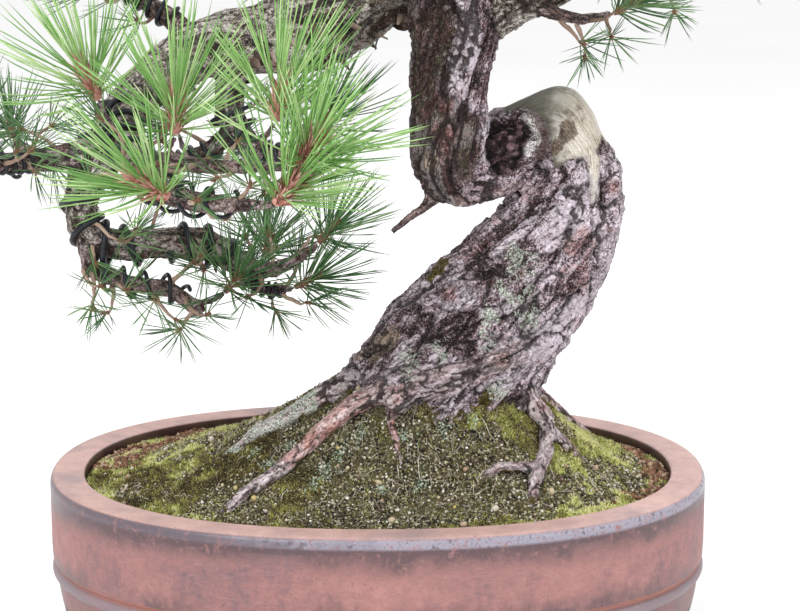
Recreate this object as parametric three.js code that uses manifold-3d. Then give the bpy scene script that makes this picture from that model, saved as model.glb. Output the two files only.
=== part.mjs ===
// A Japanese white pine bonsai in an oval unglazed pot, in millimetres, +Z up.
//
// The trunk rises from a mound of earth, leans to the right, turns over in a bare-wood arch, drops back
// to an elbow and climbs straight up to a fork. One heavy limb leaves the fork and falls to the left,
// the rest forms the crown. Trunk, roots, limbs and twigs grew as one piece, so they are one solid.
// Each spray of needles is a solid of its own, seated on the end of a twig. The earth fills the pot and
// has holes where the trunk and the surface roots stand. Training wire is coiled round four branches.

import * as THREE from "three";
import { mergeVertices } from "three/addons/utils/BufferGeometryUtils.js";
import Module from "manifold-3d";

const wasm = await Module();
wasm.setup();

// Driving dimensions
const POT_WIDTH = 380;
const POT_DEPTH = 285;
const POT_HEIGHT = 120;
const FOOT_HEIGHT = 12;
const FLOOR_HEIGHT = 20;
const OVAL_POWER = 2.2;
const RIM_WIDTH = 20;
const DRAIN_RADIUS = 11;
const DRAIN_OFFSET = 72;
const SCREEN_SIDE = 34;
const SCREEN_THICKNESS = 1.2;
const SOIL_EDGE_HEIGHT = 114;
const SOIL_TOP_HEIGHT = 172;
const SOIL_CROWN = { x: 28, y: -4, halfWidth: 53, halfDepth: 45 };
const SOIL_SLOPE_POWER = 1.7;
const GAP = 0.35;
const BARK_DEPTH = 3.2;
const BARK_SHARE = 0.085;
const WIRE_RADIUS = 1.6;
const NEEDLE_LENGTH = 44;
const FRONT_NEEDLE_LENGTH = 62;
const NEEDLE_RADIUS = 0.7;
const NEEDLE_FOOT = 1.3;
const NEEDLE_WHORLS = 3;
const NEEDLES_PER_WHORL = 7;
const WHORL_SPACING = 4.6;
const SHOOT_RADIUS = 1.9;
const SHOOT_BASE_RADIUS = SHOOT_RADIUS * 0.75;
const SHOOT_LENGTH = WHORL_SPACING * (NEEDLE_WHORLS - 0.3) + NEEDLE_FOOT + 3.2;
const TWIG_TIP_RADIUS = 1.9;

const UP = new THREE.Vector3(0, 0, 1);

// Seeded random numbers between 0 and 1
function makeRandom(seed) {
  let state = seed;
  return () => {
    state = (state + 0x6d2b79f5) | 0;
    let t = Math.imul(state ^ (state >>> 15), 1 | state);
    t = (t + Math.imul(t ^ (t >>> 7), 61 | t)) ^ t;
    return ((t ^ (t >>> 14)) >>> 0) / 4294967296;
  };
}
const random = makeRandom(5);

// Solids and geometries
function toSolid(geometry) {
  const bare = new THREE.BufferGeometry();
  bare.setAttribute("position", geometry.getAttribute("position").clone());
  if (geometry.index) bare.setIndex(geometry.index.clone());
  const merged = mergeVertices(bare, 1e-4);
  return new wasm.Manifold(
    new wasm.Mesh({
      numProp: 3,
      vertProperties: new Float32Array(merged.getAttribute("position").array),
      triVerts: new Uint32Array(merged.index.array),
    }),
  );
}

function toGeometry(solid) {
  const mesh = solid.getMesh();
  const geometry = new THREE.BufferGeometry();
  geometry.setAttribute(
    "position",
    new THREE.BufferAttribute(new Float32Array(mesh.vertProperties), 3),
  );
  geometry.setIndex(new THREE.BufferAttribute(new Uint32Array(mesh.triVerts), 1));
  geometry.computeVertexNormals();
  return geometry;
}

// Joins a list of solids in pairs, so that no join is between one huge solid and a tiny one each time.
function joined(solids) {
  let left = solids;
  while (left.length > 1) {
    const next = [];
    for (let i = 0; i < left.length; i += 2)
      next.push(i + 1 < left.length ? left[i].add(left[i + 1]) : left[i]);
    left = next;
  }
  return left[0];
}

function largestBody(solid) {
  return solid.decompose().sort((a, b) => b.volume() - a.volume())[0];
}

// A closed skin over rings of points that all have the same count, with a fan to a centre at each end.
function skinOver(rings, startCentre, endCentre) {
  const sides = rings[0].length;
  const positions = [];
  for (const ring of rings) for (const p of ring) positions.push(p.x, p.y, p.z);
  positions.push(startCentre.x, startCentre.y, startCentre.z);
  positions.push(endCentre.x, endCentre.y, endCentre.z);
  const start = rings.length * sides;
  const end = start + 1;
  const index = [];
  for (let j = 0; j < sides; j++) {
    const k = (j + 1) % sides;
    for (let i = 0; i + 1 < rings.length; i++) {
      const low = i * sides;
      const high = low + sides;
      index.push(low + j, low + k, high + k, low + j, high + k, high + j);
    }
    const last = (rings.length - 1) * sides;
    index.push(start, k, j, end, last + j, last + k);
  }
  const geometry = new THREE.BufferGeometry();
  geometry.setAttribute("position", new THREE.Float32BufferAttribute(positions, 3));
  geometry.setIndex(index);
  return geometry;
}

// Limbs: a station is [x, y, z, radius]
function makeLimb(stations, options = {}) {
  const curve = new THREE.CatmullRomCurve3(
    stations.map(([x, y, z]) => new THREE.Vector3(x, y, z)),
    false,
    "centripetal",
  );
  const length = curve.getLength();
  const rings = options.rings ?? Math.max(3, Math.round(length / 25));
  const sides = options.sides ?? (stations[0][3] > 8 ? 6 : 5);
  return { stations, curve, length, rings, sides, bark: options.bark ?? 0 };
}

function radiusAt(limb, u) {
  const place = limb.curve.getUtoTmapping(u) * (limb.stations.length - 1);
  const i = Math.min(Math.floor(place), limb.stations.length - 2);
  return THREE.MathUtils.lerp(limb.stations[i][3], limb.stations[i + 1][3], place - i);
}

function barkDepth(limb, radius) {
  return limb.bark * Math.min(BARK_DEPTH, BARK_SHARE * radius);
}

// The arch is bare wood: bark stops above a line that falls to the right.
function isBareWood(p) {
  return p.z > 302 + Math.max(0, 88 - p.x) * 0.5 && p.z < 350 && p.x > 58 && p.x < 135;
}

// Bark plates: ridges that wind slowly along the limb, broken across, with a rough edge.
function barkRelief(angle, along, radius) {
  const ridges = Math.max(3, Math.round((Math.PI * 2 * radius) / 26));
  const winding = angle * ridges + along * 0.035 + Math.sin(along * 0.06) * 1.2;
  const breaks = Math.sin(along * 0.19 + Math.sin(angle * 3) * 2.1);
  const rough = Math.sin(angle * 11 + along * 0.37) * Math.sin(along * 0.71 - angle * 5);
  return 0.55 * Math.sin(winding) + 0.2 * breaks + 0.25 * rough;
}

// The skin of a limb between two shares of its length. Extra widens it, for the hole it stands in.
function limbGeometry(limb, { from = 0, to = 1, extra = 0 } = {}) {
  const frames = limb.curve.computeFrenetFrames(limb.rings, false);
  const first = Math.round(from * limb.rings);
  const last = Math.round(to * limb.rings);
  const rings = [];
  const centres = [];
  for (let i = first; i <= last; i++) {
    const u = i / limb.rings;
    const centre = limb.curve.getPointAt(u);
    if (i === first) centre.addScaledVector(frames.tangents[i], -extra);
    if (i === last) centre.addScaledVector(frames.tangents[i], extra);
    centres.push(centre);
    const radius = radiusAt(limb, u);
    const depth = barkDepth(limb, radius);
    const ring = [];
    for (let j = 0; j < limb.sides; j++) {
      const angle = (j / limb.sides) * Math.PI * 2;
      const out = frames.normals[i]
        .clone()
        .multiplyScalar(Math.cos(angle))
        .addScaledVector(frames.binormals[i], Math.sin(angle));
      const smooth = centre.clone().addScaledVector(out, radius);
      let reach = radius + extra;
      if (extra > 0) reach += depth;
      else if (!isBareWood(smooth)) reach += depth * barkRelief(angle, u * limb.length, radius);
      ring.push(centre.clone().addScaledVector(out, reach));
    }
    rings.push(ring);
  }
  return skinOver(rings, centres[0], centres[centres.length - 1]);
}

// The earth's surface: a mound round the trunk that falls to the rim
function ovalRing(inset, height, count) {
  const a = POT_WIDTH / 2 - inset;
  const b = POT_DEPTH / 2 - inset;
  const power = 2 / OVAL_POWER;
  return Array.from({ length: count }, (_, j) => {
    const angle = (j / count) * Math.PI * 2;
    const c = Math.cos(angle);
    const s = Math.sin(angle);
    return new THREE.Vector3(
      a * Math.sign(c) * Math.abs(c) ** power,
      b * Math.sign(s) * Math.abs(s) ** power,
      height,
    );
  });
}

// How far the earth reaches in one direction from the mound's middle: to the mound's crown and to the rim
function soilReach(dx, dy) {
  const crown = 1 / Math.hypot(dx / SOIL_CROWN.halfWidth, dy / SOIL_CROWN.halfDepth);
  const a = POT_WIDTH / 2 - RIM_WIDTH;
  const b = POT_DEPTH / 2 - RIM_WIDTH;
  let near = 0;
  let far = POT_WIDTH;
  for (let i = 0; i < 30; i++) {
    const middle = (near + far) / 2;
    const x = Math.abs(SOIL_CROWN.x + dx * middle) / a;
    const y = Math.abs(SOIL_CROWN.y + dy * middle) / b;
    if (x ** OVAL_POWER + y ** OVAL_POWER < 1) near = middle;
    else far = middle;
  }
  return { crown, rim: near };
}

function soilHeight(x, y) {
  const dx = x - SOIL_CROWN.x;
  const dy = y - SOIL_CROWN.y;
  const distance = Math.hypot(dx, dy);
  if (distance < 1) return SOIL_TOP_HEIGHT;
  const { crown, rim } = soilReach(dx / distance, dy / distance);
  const t = THREE.MathUtils.clamp((distance - crown) / (rim - crown), 0, 1);
  return SOIL_EDGE_HEIGHT + (SOIL_TOP_HEIGHT - SOIL_EDGE_HEIGHT) * (1 - t) ** SOIL_SLOPE_POWER;
}

// A root lies on the earth: its plan is [x, y, radius, lift], and lift is how far its middle is above it.
function rootStations(plan) {
  return plan.map(([x, y, radius, lift]) => [x, y, soilHeight(x, y) + lift, radius]);
}

// Trunk and limbs, in three overlapping lengths so that no skin folds through itself at the arch
const trunkBase = makeLimb(
  [
    [22, 0, 92, 57],
    [24, 0, 125, 58],
    [31, 0, 152, 56],
    [43, 0, 176, 53],
    [60, 1, 200, 47.5],
    [81, 3, 226, 42],
    [101, 6, 254, 35.5],
    [113, 10, 280, 29.5],
    [113, 13, 301, 24],
    [99, 14, 315, 22],
  ],
  { sides: 22, rings: 18, bark: 1 },
);
const trunkArch = makeLimb(
  [
    [112, 12, 292, 25],
    [108, 14, 308, 24],
    [96, 15, 317, 24],
    [82, 12, 309, 22.5],
    [67, 5, 300, 21.5],
    [51, -4, 294, 21.5],
    [41, -8, 298, 20],
  ],
  { sides: 16, rings: 11, bark: 1 },
);
const trunkTop = makeLimb(
  [
    [45, -8, 284, 17],
    [41, -9, 296, 23],
    [40, -10, 326, 21.5],
    [41, -10, 352, 22],
    [45, -8, 376, 26],
    [43, -4, 399, 24],
    [50, 4, 422, 20],
    [44, 8, 448, 17],
    [28, 4, 472, 14],
    [16, -2, 494, 11],
    [20, -4, 514, 7.5],
    [26, -2, 530, 4],
  ],
  { sides: 13, rings: 16, bark: 1 },
);
const leftLimb = makeLimb(
  [
    [48, -4, 400, 20],
    [30, 2, 408, 22],
    [10, 7, 403, 22.5],
    [-12, 13, 387, 24],
    [-36, 18, 372, 24],
    [-64, 22, 366, 21],
    [-100, 26, 360, 17],
    [-132, 18, 339, 14],
    [-152, 2, 312, 12],
    [-166, -6, 284, 10.5],
    [-166, -10, 262, 9.5],
    [-148, -9, 252, 9],
    [-118, -4, 253, 9.5],
    [-94, -2, 250, 10],
    [-78, -4, 239, 7],
    [-62, -8, 237, 5],
    [-46, -11, 244, 3.6],
    [-34, -10, 253, 2.2],
  ],
  { sides: 9, rings: 30, bark: 1 },
);
const trunkSolids = [trunkBase, trunkArch, trunkTop, leftLimb];

// Roots on the earth, and the dead stub under the elbow
const rootPlans = {
  longRoot: [
    [52, -36, 9, 26],
    [28, -43, 8.5, 14],
    [6, -46, 8, 7],
    [-16, -46, 6.4, 5],
    [-31, -51, 5.4, 4],
    [-44, -60, 5, 3],
    [-60, -70, 4.8, 2.4],
    [-76, -79, 4.6, 1.6],
    [-90, -88, 3.6, -5],
  ],
  bluntRoot: [
    [66, -38, 10, 24],
    [42, -45, 9.5, 13],
    [20, -50, 8.5, 8],
    [6, -53, 7.5, 5],
  ],
  rightRoot: [
    [60, -16, 13, 12],
    [76, -27, 8, 7],
    [99, -36, 5.6, 4],
    [95, -50, 5, 3.4],
    [89, -66, 4.4, 2.4],
    [84, -80, 3.6, 1.4],
    [83, -91, 2.6, -4],
  ],
  rightRootSpur: [
    [97, -36, 5, 3],
    [107, -35, 4.2, 1.5],
    [117, -33, 3.2, -4],
  ],
  rightRootBranch: [
    [89, -63, 4, 2],
    [79, -68, 4, 3],
    [68, -71, 3.6, 2.6],
    [57, -75, 2.8, -3],
  ],
  leftRoot: [
    [20, -6, 32, 4],
    [-4, -12, 21, -5],
    [-26, -22, 10, -1],
    [-44, -26, 7, 1.5],
    [-60, -26, 6.4, 2.5],
    [-78, -25, 5, 0],
    [-90, -27, 3.4, -5],
  ],
  backRoot: [
    [30, 20, 16, -2],
    [22, 46, 11, 1],
    [8, 66, 8, 2],
    [-10, 82, 5.5, 1],
    [-22, 94, 3.5, -5],
  ],
  backRightRoot: [
    [56, 12, 16, -2],
    [84, 28, 11, 1],
    [104, 40, 8, 2],
    [122, 46, 5.5, 1],
    [136, 50, 3.5, -5],
  ],
  smallRoot: [
    [6, -49, 3.4, -2],
    [8, -59, 2.8, 1.5],
    [11, -67, 2.5, 1],
    [13, -73, 2, -3],
  ],
};
const roots = Object.values(rootPlans).map((plan) =>
  makeLimb(rootStations(plan), { sides: 6, bark: 0.8 }),
);
const deadStub = makeLimb(
  [
    [33, -10, 282, 6],
    [27, -12, 275, 3.4],
    [20, -12, 270, 2.7],
    [8, -12, 260, 1.9],
  ],
  { sides: 6, rings: 5 },
);

// Branches that bear foliage. Sides is how many twigs leave each along its outer part.
const branchPlans = {
  front: {
    stations: [
      [-133, 16, 337, 11],
      [-141, -25, 326, 9.5],
      [-134, -70, 312, 8.5],
      [-118, -106, 303, 7.5],
      [-96, -134, 300, 6],
      [-73, -152, 301, 4.6],
      [-52, -164, 303, 2.6],
    ],
  },
  frontUpper: {
    stations: [
      [-134, -68, 312, 6.5],
      [-112, -84, 312, 5.5],
      [-88, -110, 314, 4.6],
      [-64, -136, 318, 3.8],
      [-40, -158, 322, 2.4],
    ],
  },
  inner: {
    stations: [
      [-74, 22, 364, 12],
      [-86, 25, 338, 10],
      [-82, 23, 312, 9],
      [-64, 17, 299, 7.5],
      [-47, 10, 301, 5.6],
      [-35, 8, 313, 2.8],
    ],
  },
  innerLeft: {
    stations: [
      [-82, 23, 313, 7],
      [-102, 28, 298, 6],
      [-122, 34, 293, 4.8],
      [-140, 40, 296, 2.6],
    ],
  },
  upperLeft: {
    stations: [
      [-102, 26, 359, 9],
      [-118, 36, 376, 7],
      [-138, 40, 388, 5],
      [-158, 38, 394, 2.6],
    ],
    sides: 2,
  },
  outerLeft: {
    stations: [
      [-156, -2, 306, 9],
      [-184, -8, 302, 8],
      [-212, -10, 300, 6],
      [-238, -8, 303, 4.2],
      [-256, -5, 307, 2.6],
    ],
    sides: 2,
  },
  outerLeftFront: {
    stations: [
      [-186, -8, 302, 6],
      [-200, -36, 303, 5],
      [-212, -62, 307, 2.6],
    ],
  },
  outerLeftBack: {
    stations: [
      [-190, -8, 302, 6],
      [-202, 20, 301, 5],
      [-212, 46, 305, 2.6],
    ],
  },
  lowerLeft: {
    stations: [
      [-165, -10, 262, 8],
      [-166, -15, 244, 6.5],
      [-150, -18, 233, 5.8],
      [-126, -17, 231, 5.4],
      [-108, -16, 225, 5.2],
      [-100, -15, 214, 4.6],
    ],
  },
  lowerRight: {
    stations: [
      [-82, -4, 243, 5.5],
      [-76, 1, 229, 4.6],
      [-62, 2, 223, 3.8],
      [-48, -3, 226, 2.4],
    ],
  },
  right: {
    stations: [
      [46, -8, 374, 19],
      [70, -7, 387, 16],
      [98, -6, 399, 13],
      [128, -4, 406, 10],
      [156, 0, 409, 7.5],
      [182, 4, 413, 5.2],
      [202, 6, 418, 2.6],
    ],
    sides: 2,
  },
  rightFront: {
    stations: [
      [98, -6, 399, 8],
      [106, -34, 402, 6],
      [114, -62, 408, 4.4],
      [120, -84, 415, 2.6],
    ],
    sides: 1,
  },
  rightBack: {
    stations: [
      [118, -4, 405, 8],
      [126, 24, 408, 6],
      [136, 50, 414, 4.4],
      [144, 72, 420, 2.6],
    ],
    sides: 1,
  },
  rightLow: {
    stations: [
      [84, -8, 390, 6],
      [98, -18, 384, 4.6],
      [114, -22, 381, 3.6],
      [130, -20, 384, 2.4],
    ],
  },
  back: {
    stations: [
      [48, 4, 420, 13],
      [54, 34, 432, 10],
      [50, 68, 438, 8],
      [44, 98, 442, 5.4],
      [38, 122, 447, 2.6],
    ],
    sides: 2,
  },
  backRight: {
    stations: [
      [51, 58, 436, 6],
      [72, 76, 440, 4.6],
      [92, 92, 446, 2.6],
    ],
  },
  backLeft: {
    stations: [
      [49, 70, 438, 6],
      [26, 86, 441, 4.6],
      [4, 98, 447, 2.6],
    ],
  },
  crownFront: {
    stations: [
      [47, 6, 436, 10],
      [51, -26, 446, 8],
      [47, -56, 452, 6.4],
      [42, -84, 457, 4.4],
      [40, -104, 462, 2.6],
    ],
    sides: 2,
  },
  crownLeft: {
    stations: [
      [36, 6, 460, 9],
      [6, 10, 467, 7.4],
      [-22, 10, 471, 5.8],
      [-48, 6, 475, 4.2],
      [-68, 2, 480, 2.6],
    ],
    sides: 2,
  },
  crownRight: {
    stations: [
      [26, 4, 474, 8],
      [52, 2, 482, 6.6],
      [80, -2, 487, 4.6],
      [102, -4, 493, 2.6],
    ],
    sides: 1,
  },
  apexFront: {
    stations: [
      [17, -2, 498, 5],
      [8, -22, 507, 3.8],
      [0, -40, 515, 2.4],
    ],
  },
  apexBack: {
    stations: [
      [19, -3, 506, 5],
      [28, 18, 514, 3.8],
      [34, 36, 522, 2.4],
    ],
  },
  apexLeft: {
    stations: [
      [19, -4, 512, 4.4],
      [0, 4, 521, 3.4],
      [-16, 8, 530, 2.4],
    ],
  },
  humpFront: {
    stations: [
      [10, 6, 412, 9],
      [2, -26, 424, 6.6],
      [-12, -54, 431, 5],
      [-26, -78, 438, 2.6],
    ],
    sides: 1,
  },
  leftBack: {
    stations: [
      [-34, 18, 378, 10],
      [-38, 48, 386, 7.4],
      [-46, 78, 392, 5.2],
      [-54, 102, 398, 2.6],
    ],
    sides: 2,
  },
  linkTwig: {
    stations: [
      [28, -6, 371, 6],
      [16, 0, 380, 4.4],
      [0, 7, 394, 4.6],
    ],
    bare: true,
  },
};
const branches = {};
for (const [name, plan] of Object.entries(branchPlans))
  branches[name] = makeLimb(plan.stations, { bark: 0.8 });

// What is already in place, as round-ended bars, so that twigs, needles and wire keep clear of it
const placed = [];

function placeBar(a, b, radius, owner) {
  placed.push({ a: a.clone(), b: b.clone(), radius, owner });
}

function placeLimb(limb, owner) {
  const steps = Math.max(2, Math.round(limb.length / 8));
  for (let i = 0; i < steps; i++) {
    const widest = Math.max(radiusAt(limb, i / steps), radiusAt(limb, (i + 1) / steps));
    const reach = widest + barkDepth(limb, widest);
    placeBar(limb.curve.getPointAt(i / steps), limb.curve.getPointAt((i + 1) / steps), reach, owner);
  }
}

// Shortest distance between two segments
function barDistance(p1, q1, p2, q2) {
  const d1 = new THREE.Vector3().subVectors(q1, p1);
  const d2 = new THREE.Vector3().subVectors(q2, p2);
  const r = new THREE.Vector3().subVectors(p1, p2);
  const a = d1.dot(d1);
  const e = d2.dot(d2);
  const f = d2.dot(r);
  const c = d1.dot(r);
  const b = d1.dot(d2);
  const denominator = a * e - b * b;
  let s = denominator > 1e-9 ? THREE.MathUtils.clamp((b * f - c * e) / denominator, 0, 1) : 0;
  let t = (b * s + f) / e;
  if (t < 0) {
    t = 0;
    s = THREE.MathUtils.clamp(-c / a, 0, 1);
  } else if (t > 1) {
    t = 1;
    s = THREE.MathUtils.clamp((b - c) / a, 0, 1);
  }
  const near = p1.clone().addScaledVector(d1, s);
  return near.distanceTo(p2.clone().addScaledVector(d2, t));
}

function isClear(a, b, radius, ignoredOwners, margin) {
  return placed.every(
    (bar) =>
      ignoredOwners.includes(bar.owner) ||
      barDistance(a, b, bar.a, bar.b) > radius + bar.radius + margin,
  );
}

for (const limb of [...trunkSolids, ...roots, deadStub]) placeLimb(limb, "trunk");
for (const [name, limb] of Object.entries(branches)) placeLimb(limb, name);

// Training wire: a round wire coiled on a branch between two shares of its length
const WIRE_STEPS_PER_TURN = 8;
const WIRE_SIDES = 5;
const wirePlans = {
  wire_front: { branch: "front", from: 0.57, to: 0.9, turns: 4 },
  wire_lower_left: { branch: "lowerLeft", from: 0.34, to: 0.86, turns: 4 },
  wire_inner: { branch: "inner", from: 0.34, to: 0.6, turns: 2 },
  wire_outer_left: { branch: "outerLeft", from: 0.46, to: 0.84, turns: 2 },
};

// Middle, radius and two cross directions of a limb as it is skinned, straight from ring to ring
function limbSection(limb, u) {
  const frames = limb.curve.computeFrenetFrames(limb.rings, false);
  const i = Math.min(Math.floor(u * limb.rings), limb.rings - 1);
  const share = u * limb.rings - i;
  const low = i / limb.rings;
  const high = (i + 1) / limb.rings;
  return {
    middle: limb.curve.getPointAt(low).lerp(limb.curve.getPointAt(high), share),
    radius: THREE.MathUtils.lerp(radiusAt(limb, low), radiusAt(limb, high), share),
    normal: frames.normals[i].clone().lerp(frames.normals[i + 1], share).normalize(),
    binormal: frames.binormals[i].clone().lerp(frames.binormals[i + 1], share).normalize(),
  };
}

function coilPoints({ branch, from, to, turns, start }) {
  const limb = branches[branch];
  const steps = turns * WIRE_STEPS_PER_TURN;
  return Array.from({ length: steps + 1 }, (_, i) => {
    const { middle, radius, normal, binormal } = limbSection(
      limb,
      THREE.MathUtils.lerp(from, to, i / steps),
    );
    const chordLoss = radius * (1 - Math.cos(Math.PI / WIRE_STEPS_PER_TURN));
    const reach = radius + barkDepth(limb, radius) + WIRE_RADIUS + GAP + chordLoss;
    const angle = start + (i / WIRE_STEPS_PER_TURN) * Math.PI * 2;
    return middle
      .addScaledVector(normal, Math.cos(angle) * reach)
      .addScaledVector(binormal, Math.sin(angle) * reach);
  });
}

function wireGeometry(plan) {
  const points = coilPoints(plan);
  const rings = points.map((p, i) => {
    const before = points[Math.max(0, i - 1)];
    const after = points[Math.min(points.length - 1, i + 1)];
    const along = new THREE.Vector3().subVectors(after, before).normalize();
    const u = THREE.MathUtils.lerp(plan.from, plan.to, i / (points.length - 1));
    const out = new THREE.Vector3().subVectors(p, limbSection(branches[plan.branch], u).middle);
    out.addScaledVector(along, -out.dot(along)).normalize();
    const side = new THREE.Vector3().crossVectors(along, out);
    return Array.from({ length: WIRE_SIDES }, (_, j) => {
      const angle = (j / WIRE_SIDES) * Math.PI * 2;
      return p
        .clone()
        .addScaledVector(out, Math.cos(angle) * WIRE_RADIUS)
        .addScaledVector(side, Math.sin(angle) * WIRE_RADIUS);
    });
  });
  return skinOver(rings, points[0], points[points.length - 1]);
}

// The coil starts at the angle that keeps it farthest from the branches that fork off.
function clearanceOf(points, ignoredOwner) {
  let least = Infinity;
  for (let i = 0; i + 1 < points.length; i++)
    for (const bar of placed)
      if (bar.owner !== ignoredOwner)
        least = Math.min(least, barDistance(points[i], points[i + 1], bar.a, bar.b) - bar.radius);
  return least;
}

for (const [name, plan] of Object.entries(wirePlans)) {
  const starts = Array.from({ length: 16 }, (_, i) => (i / 16) * Math.PI * 2);
  const clearances = starts.map((start) =>
    clearanceOf(coilPoints({ ...plan, start }), plan.branch),
  );
  plan.start = starts[clearances.indexOf(Math.max(...clearances))];
  const points = coilPoints(plan);
  for (let i = 0; i + 1 < points.length; i++)
    placeBar(points[i], points[i + 1], WIRE_RADIUS, name);
}

// Shoots: where each spray of needles is seated, at a branch's end or on a side twig
const shoots = [];

// The shoot may lean away from the twig it sits on, and then stands off just enough for its edge to clear.
function addShoot(name, limb, lean, needleLength = NEEDLE_LENGTH) {
  const along = limb.curve.getTangentAt(1);
  const direction = lean.clone().normalize();
  const cosine = along.dot(direction);
  const sine = Math.sqrt(1 - Math.min(1, cosine * cosine));
  const standOff = (GAP + SHOOT_BASE_RADIUS * sine) / cosine;
  const base = limb.curve.getPointAt(1).addScaledVector(direction, standOff);
  const end = base.clone().addScaledVector(direction, SHOOT_LENGTH);
  placeBar(base, end, SHOOT_RADIUS, name);
  shoots.push({ name, base, direction, needleLength });
}

const twigs = [];

function addTwig(branchName, from, to, shootDirection, needleLength) {
  const bend = from.clone().lerp(to, 0.5).addScaledVector(UP, -from.distanceTo(to) * 0.08);
  const twig = makeLimb(
    [
      [from.x, from.y, from.z, 2.6],
      [bend.x, bend.y, bend.z, 2.2],
      [to.x, to.y, to.z, TWIG_TIP_RADIUS],
    ],
    { sides: 4, rings: 3 },
  );
  twigs.push(twig);
  placeLimb(twig, branchName);
  addShoot(`spray_${branchName}_${shoots.length}`, twig, shootDirection, needleLength);
}

// Side twigs leave a branch left and right by turns and rise a little; the first clear place is taken.
function addSideTwigs(name, limb, count) {
  for (let i = 0; i < count; i++) {
    const side = i % 2 === 0 ? 1 : -1;
    for (let attempt = 0; attempt < 30; attempt++) {
      const u = 0.5 + (0.36 * (i + 0.5)) / count + (random() - 0.5) * 0.12;
      const along = limb.curve.getTangentAt(u);
      const across = new THREE.Vector3().crossVectors(along, UP).normalize().multiplyScalar(side);
      const lean = along.clone().multiplyScalar(0.5).add(across).addScaledVector(UP, 0.35);
      lean.normalize();
      const from = limb.curve.getPointAt(u);
      const to = from.clone().addScaledVector(lean, radiusAt(limb, u) + 20 + random() * 8);
      if (!isClear(from, to, 2.6, [name], 1)) continue;
      addTwig(name, from, to, lean.addScaledVector(UP, 0.5), NEEDLE_LENGTH);
      break;
    }
  }
}

for (const [name, plan] of Object.entries(branchPlans)) {
  if (plan.bare || name === "lowerLeft") continue;
  const limb = branches[name];
  const isFront = name.startsWith("front");
  const lift = isFront ? 0.9 : 0.35;
  const direction = limb.curve.getTangentAt(1).clone().addScaledVector(UP, lift);
  const needleLength = isFront ? FRONT_NEEDLE_LENGTH : NEEDLE_LENGTH;
  addShoot(`spray_${name}_tip`, limb, direction, needleLength);
  addSideTwigs(name, limb, plan.sides ?? 0);
}
for (const [name, limb] of Object.entries({ trunk: trunkTop, leftLimb })) {
  const direction = limb.curve.getTangentAt(1).clone().addScaledVector(UP, 0.3);
  addShoot(`spray_${name}_tip`, limb, direction);
}

// Twigs placed by hand where foliage shows at the front and on the low branches: [branch, share of its
// length, end of the twig, direction of the shoot, needle length]
const handTwigs = [
  ["front", 0.58, [-104, -128, 332], [0.05, 0, 1], FRONT_NEEDLE_LENGTH],
  ["front", 0.3, [-150, -62, 342], [-0.4, -0.2, 1], FRONT_NEEDLE_LENGTH],
  ["front", 0.74, [-106, -146, 304], [-0.8, -0.4, 0.5], FRONT_NEEDLE_LENGTH],
  ["frontUpper", 0.66, [-52, -140, 341], [0.2, 0, 1], FRONT_NEEDLE_LENGTH],
  ["lowerLeft", 0.14, [-150, -30, 262], [0.3, -0.6, 1], NEEDLE_LENGTH],
  ["lowerLeft", 0.93, [-86, -26, 228], [0.5, -0.4, 0.7], NEEDLE_LENGTH],
  ["lowerRight", 0.5, [-66, 16, 240], [0.2, 0.7, 0.6], NEEDLE_LENGTH],
  ["innerLeft", 0.5, [-114, 16, 312], [-0.3, -0.3, 1], NEEDLE_LENGTH],
];
for (const [name, share, end, direction, needleLength] of handTwigs) {
  const to = new THREE.Vector3(...end);
  const shifts = [0, 0.02, -0.02, 0.04, -0.04, 0.06, -0.06, 0.08, -0.08];
  const starts = shifts.map((shift) =>
    branches[name].curve.getPointAt(THREE.MathUtils.clamp(share + shift, 0, 1)),
  );
  const from = starts.find((start) => isClear(start, to, 2.6, [name], 0.5));
  if (from) addTwig(name, from, to, new THREE.Vector3(...direction), needleLength);
}

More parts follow.
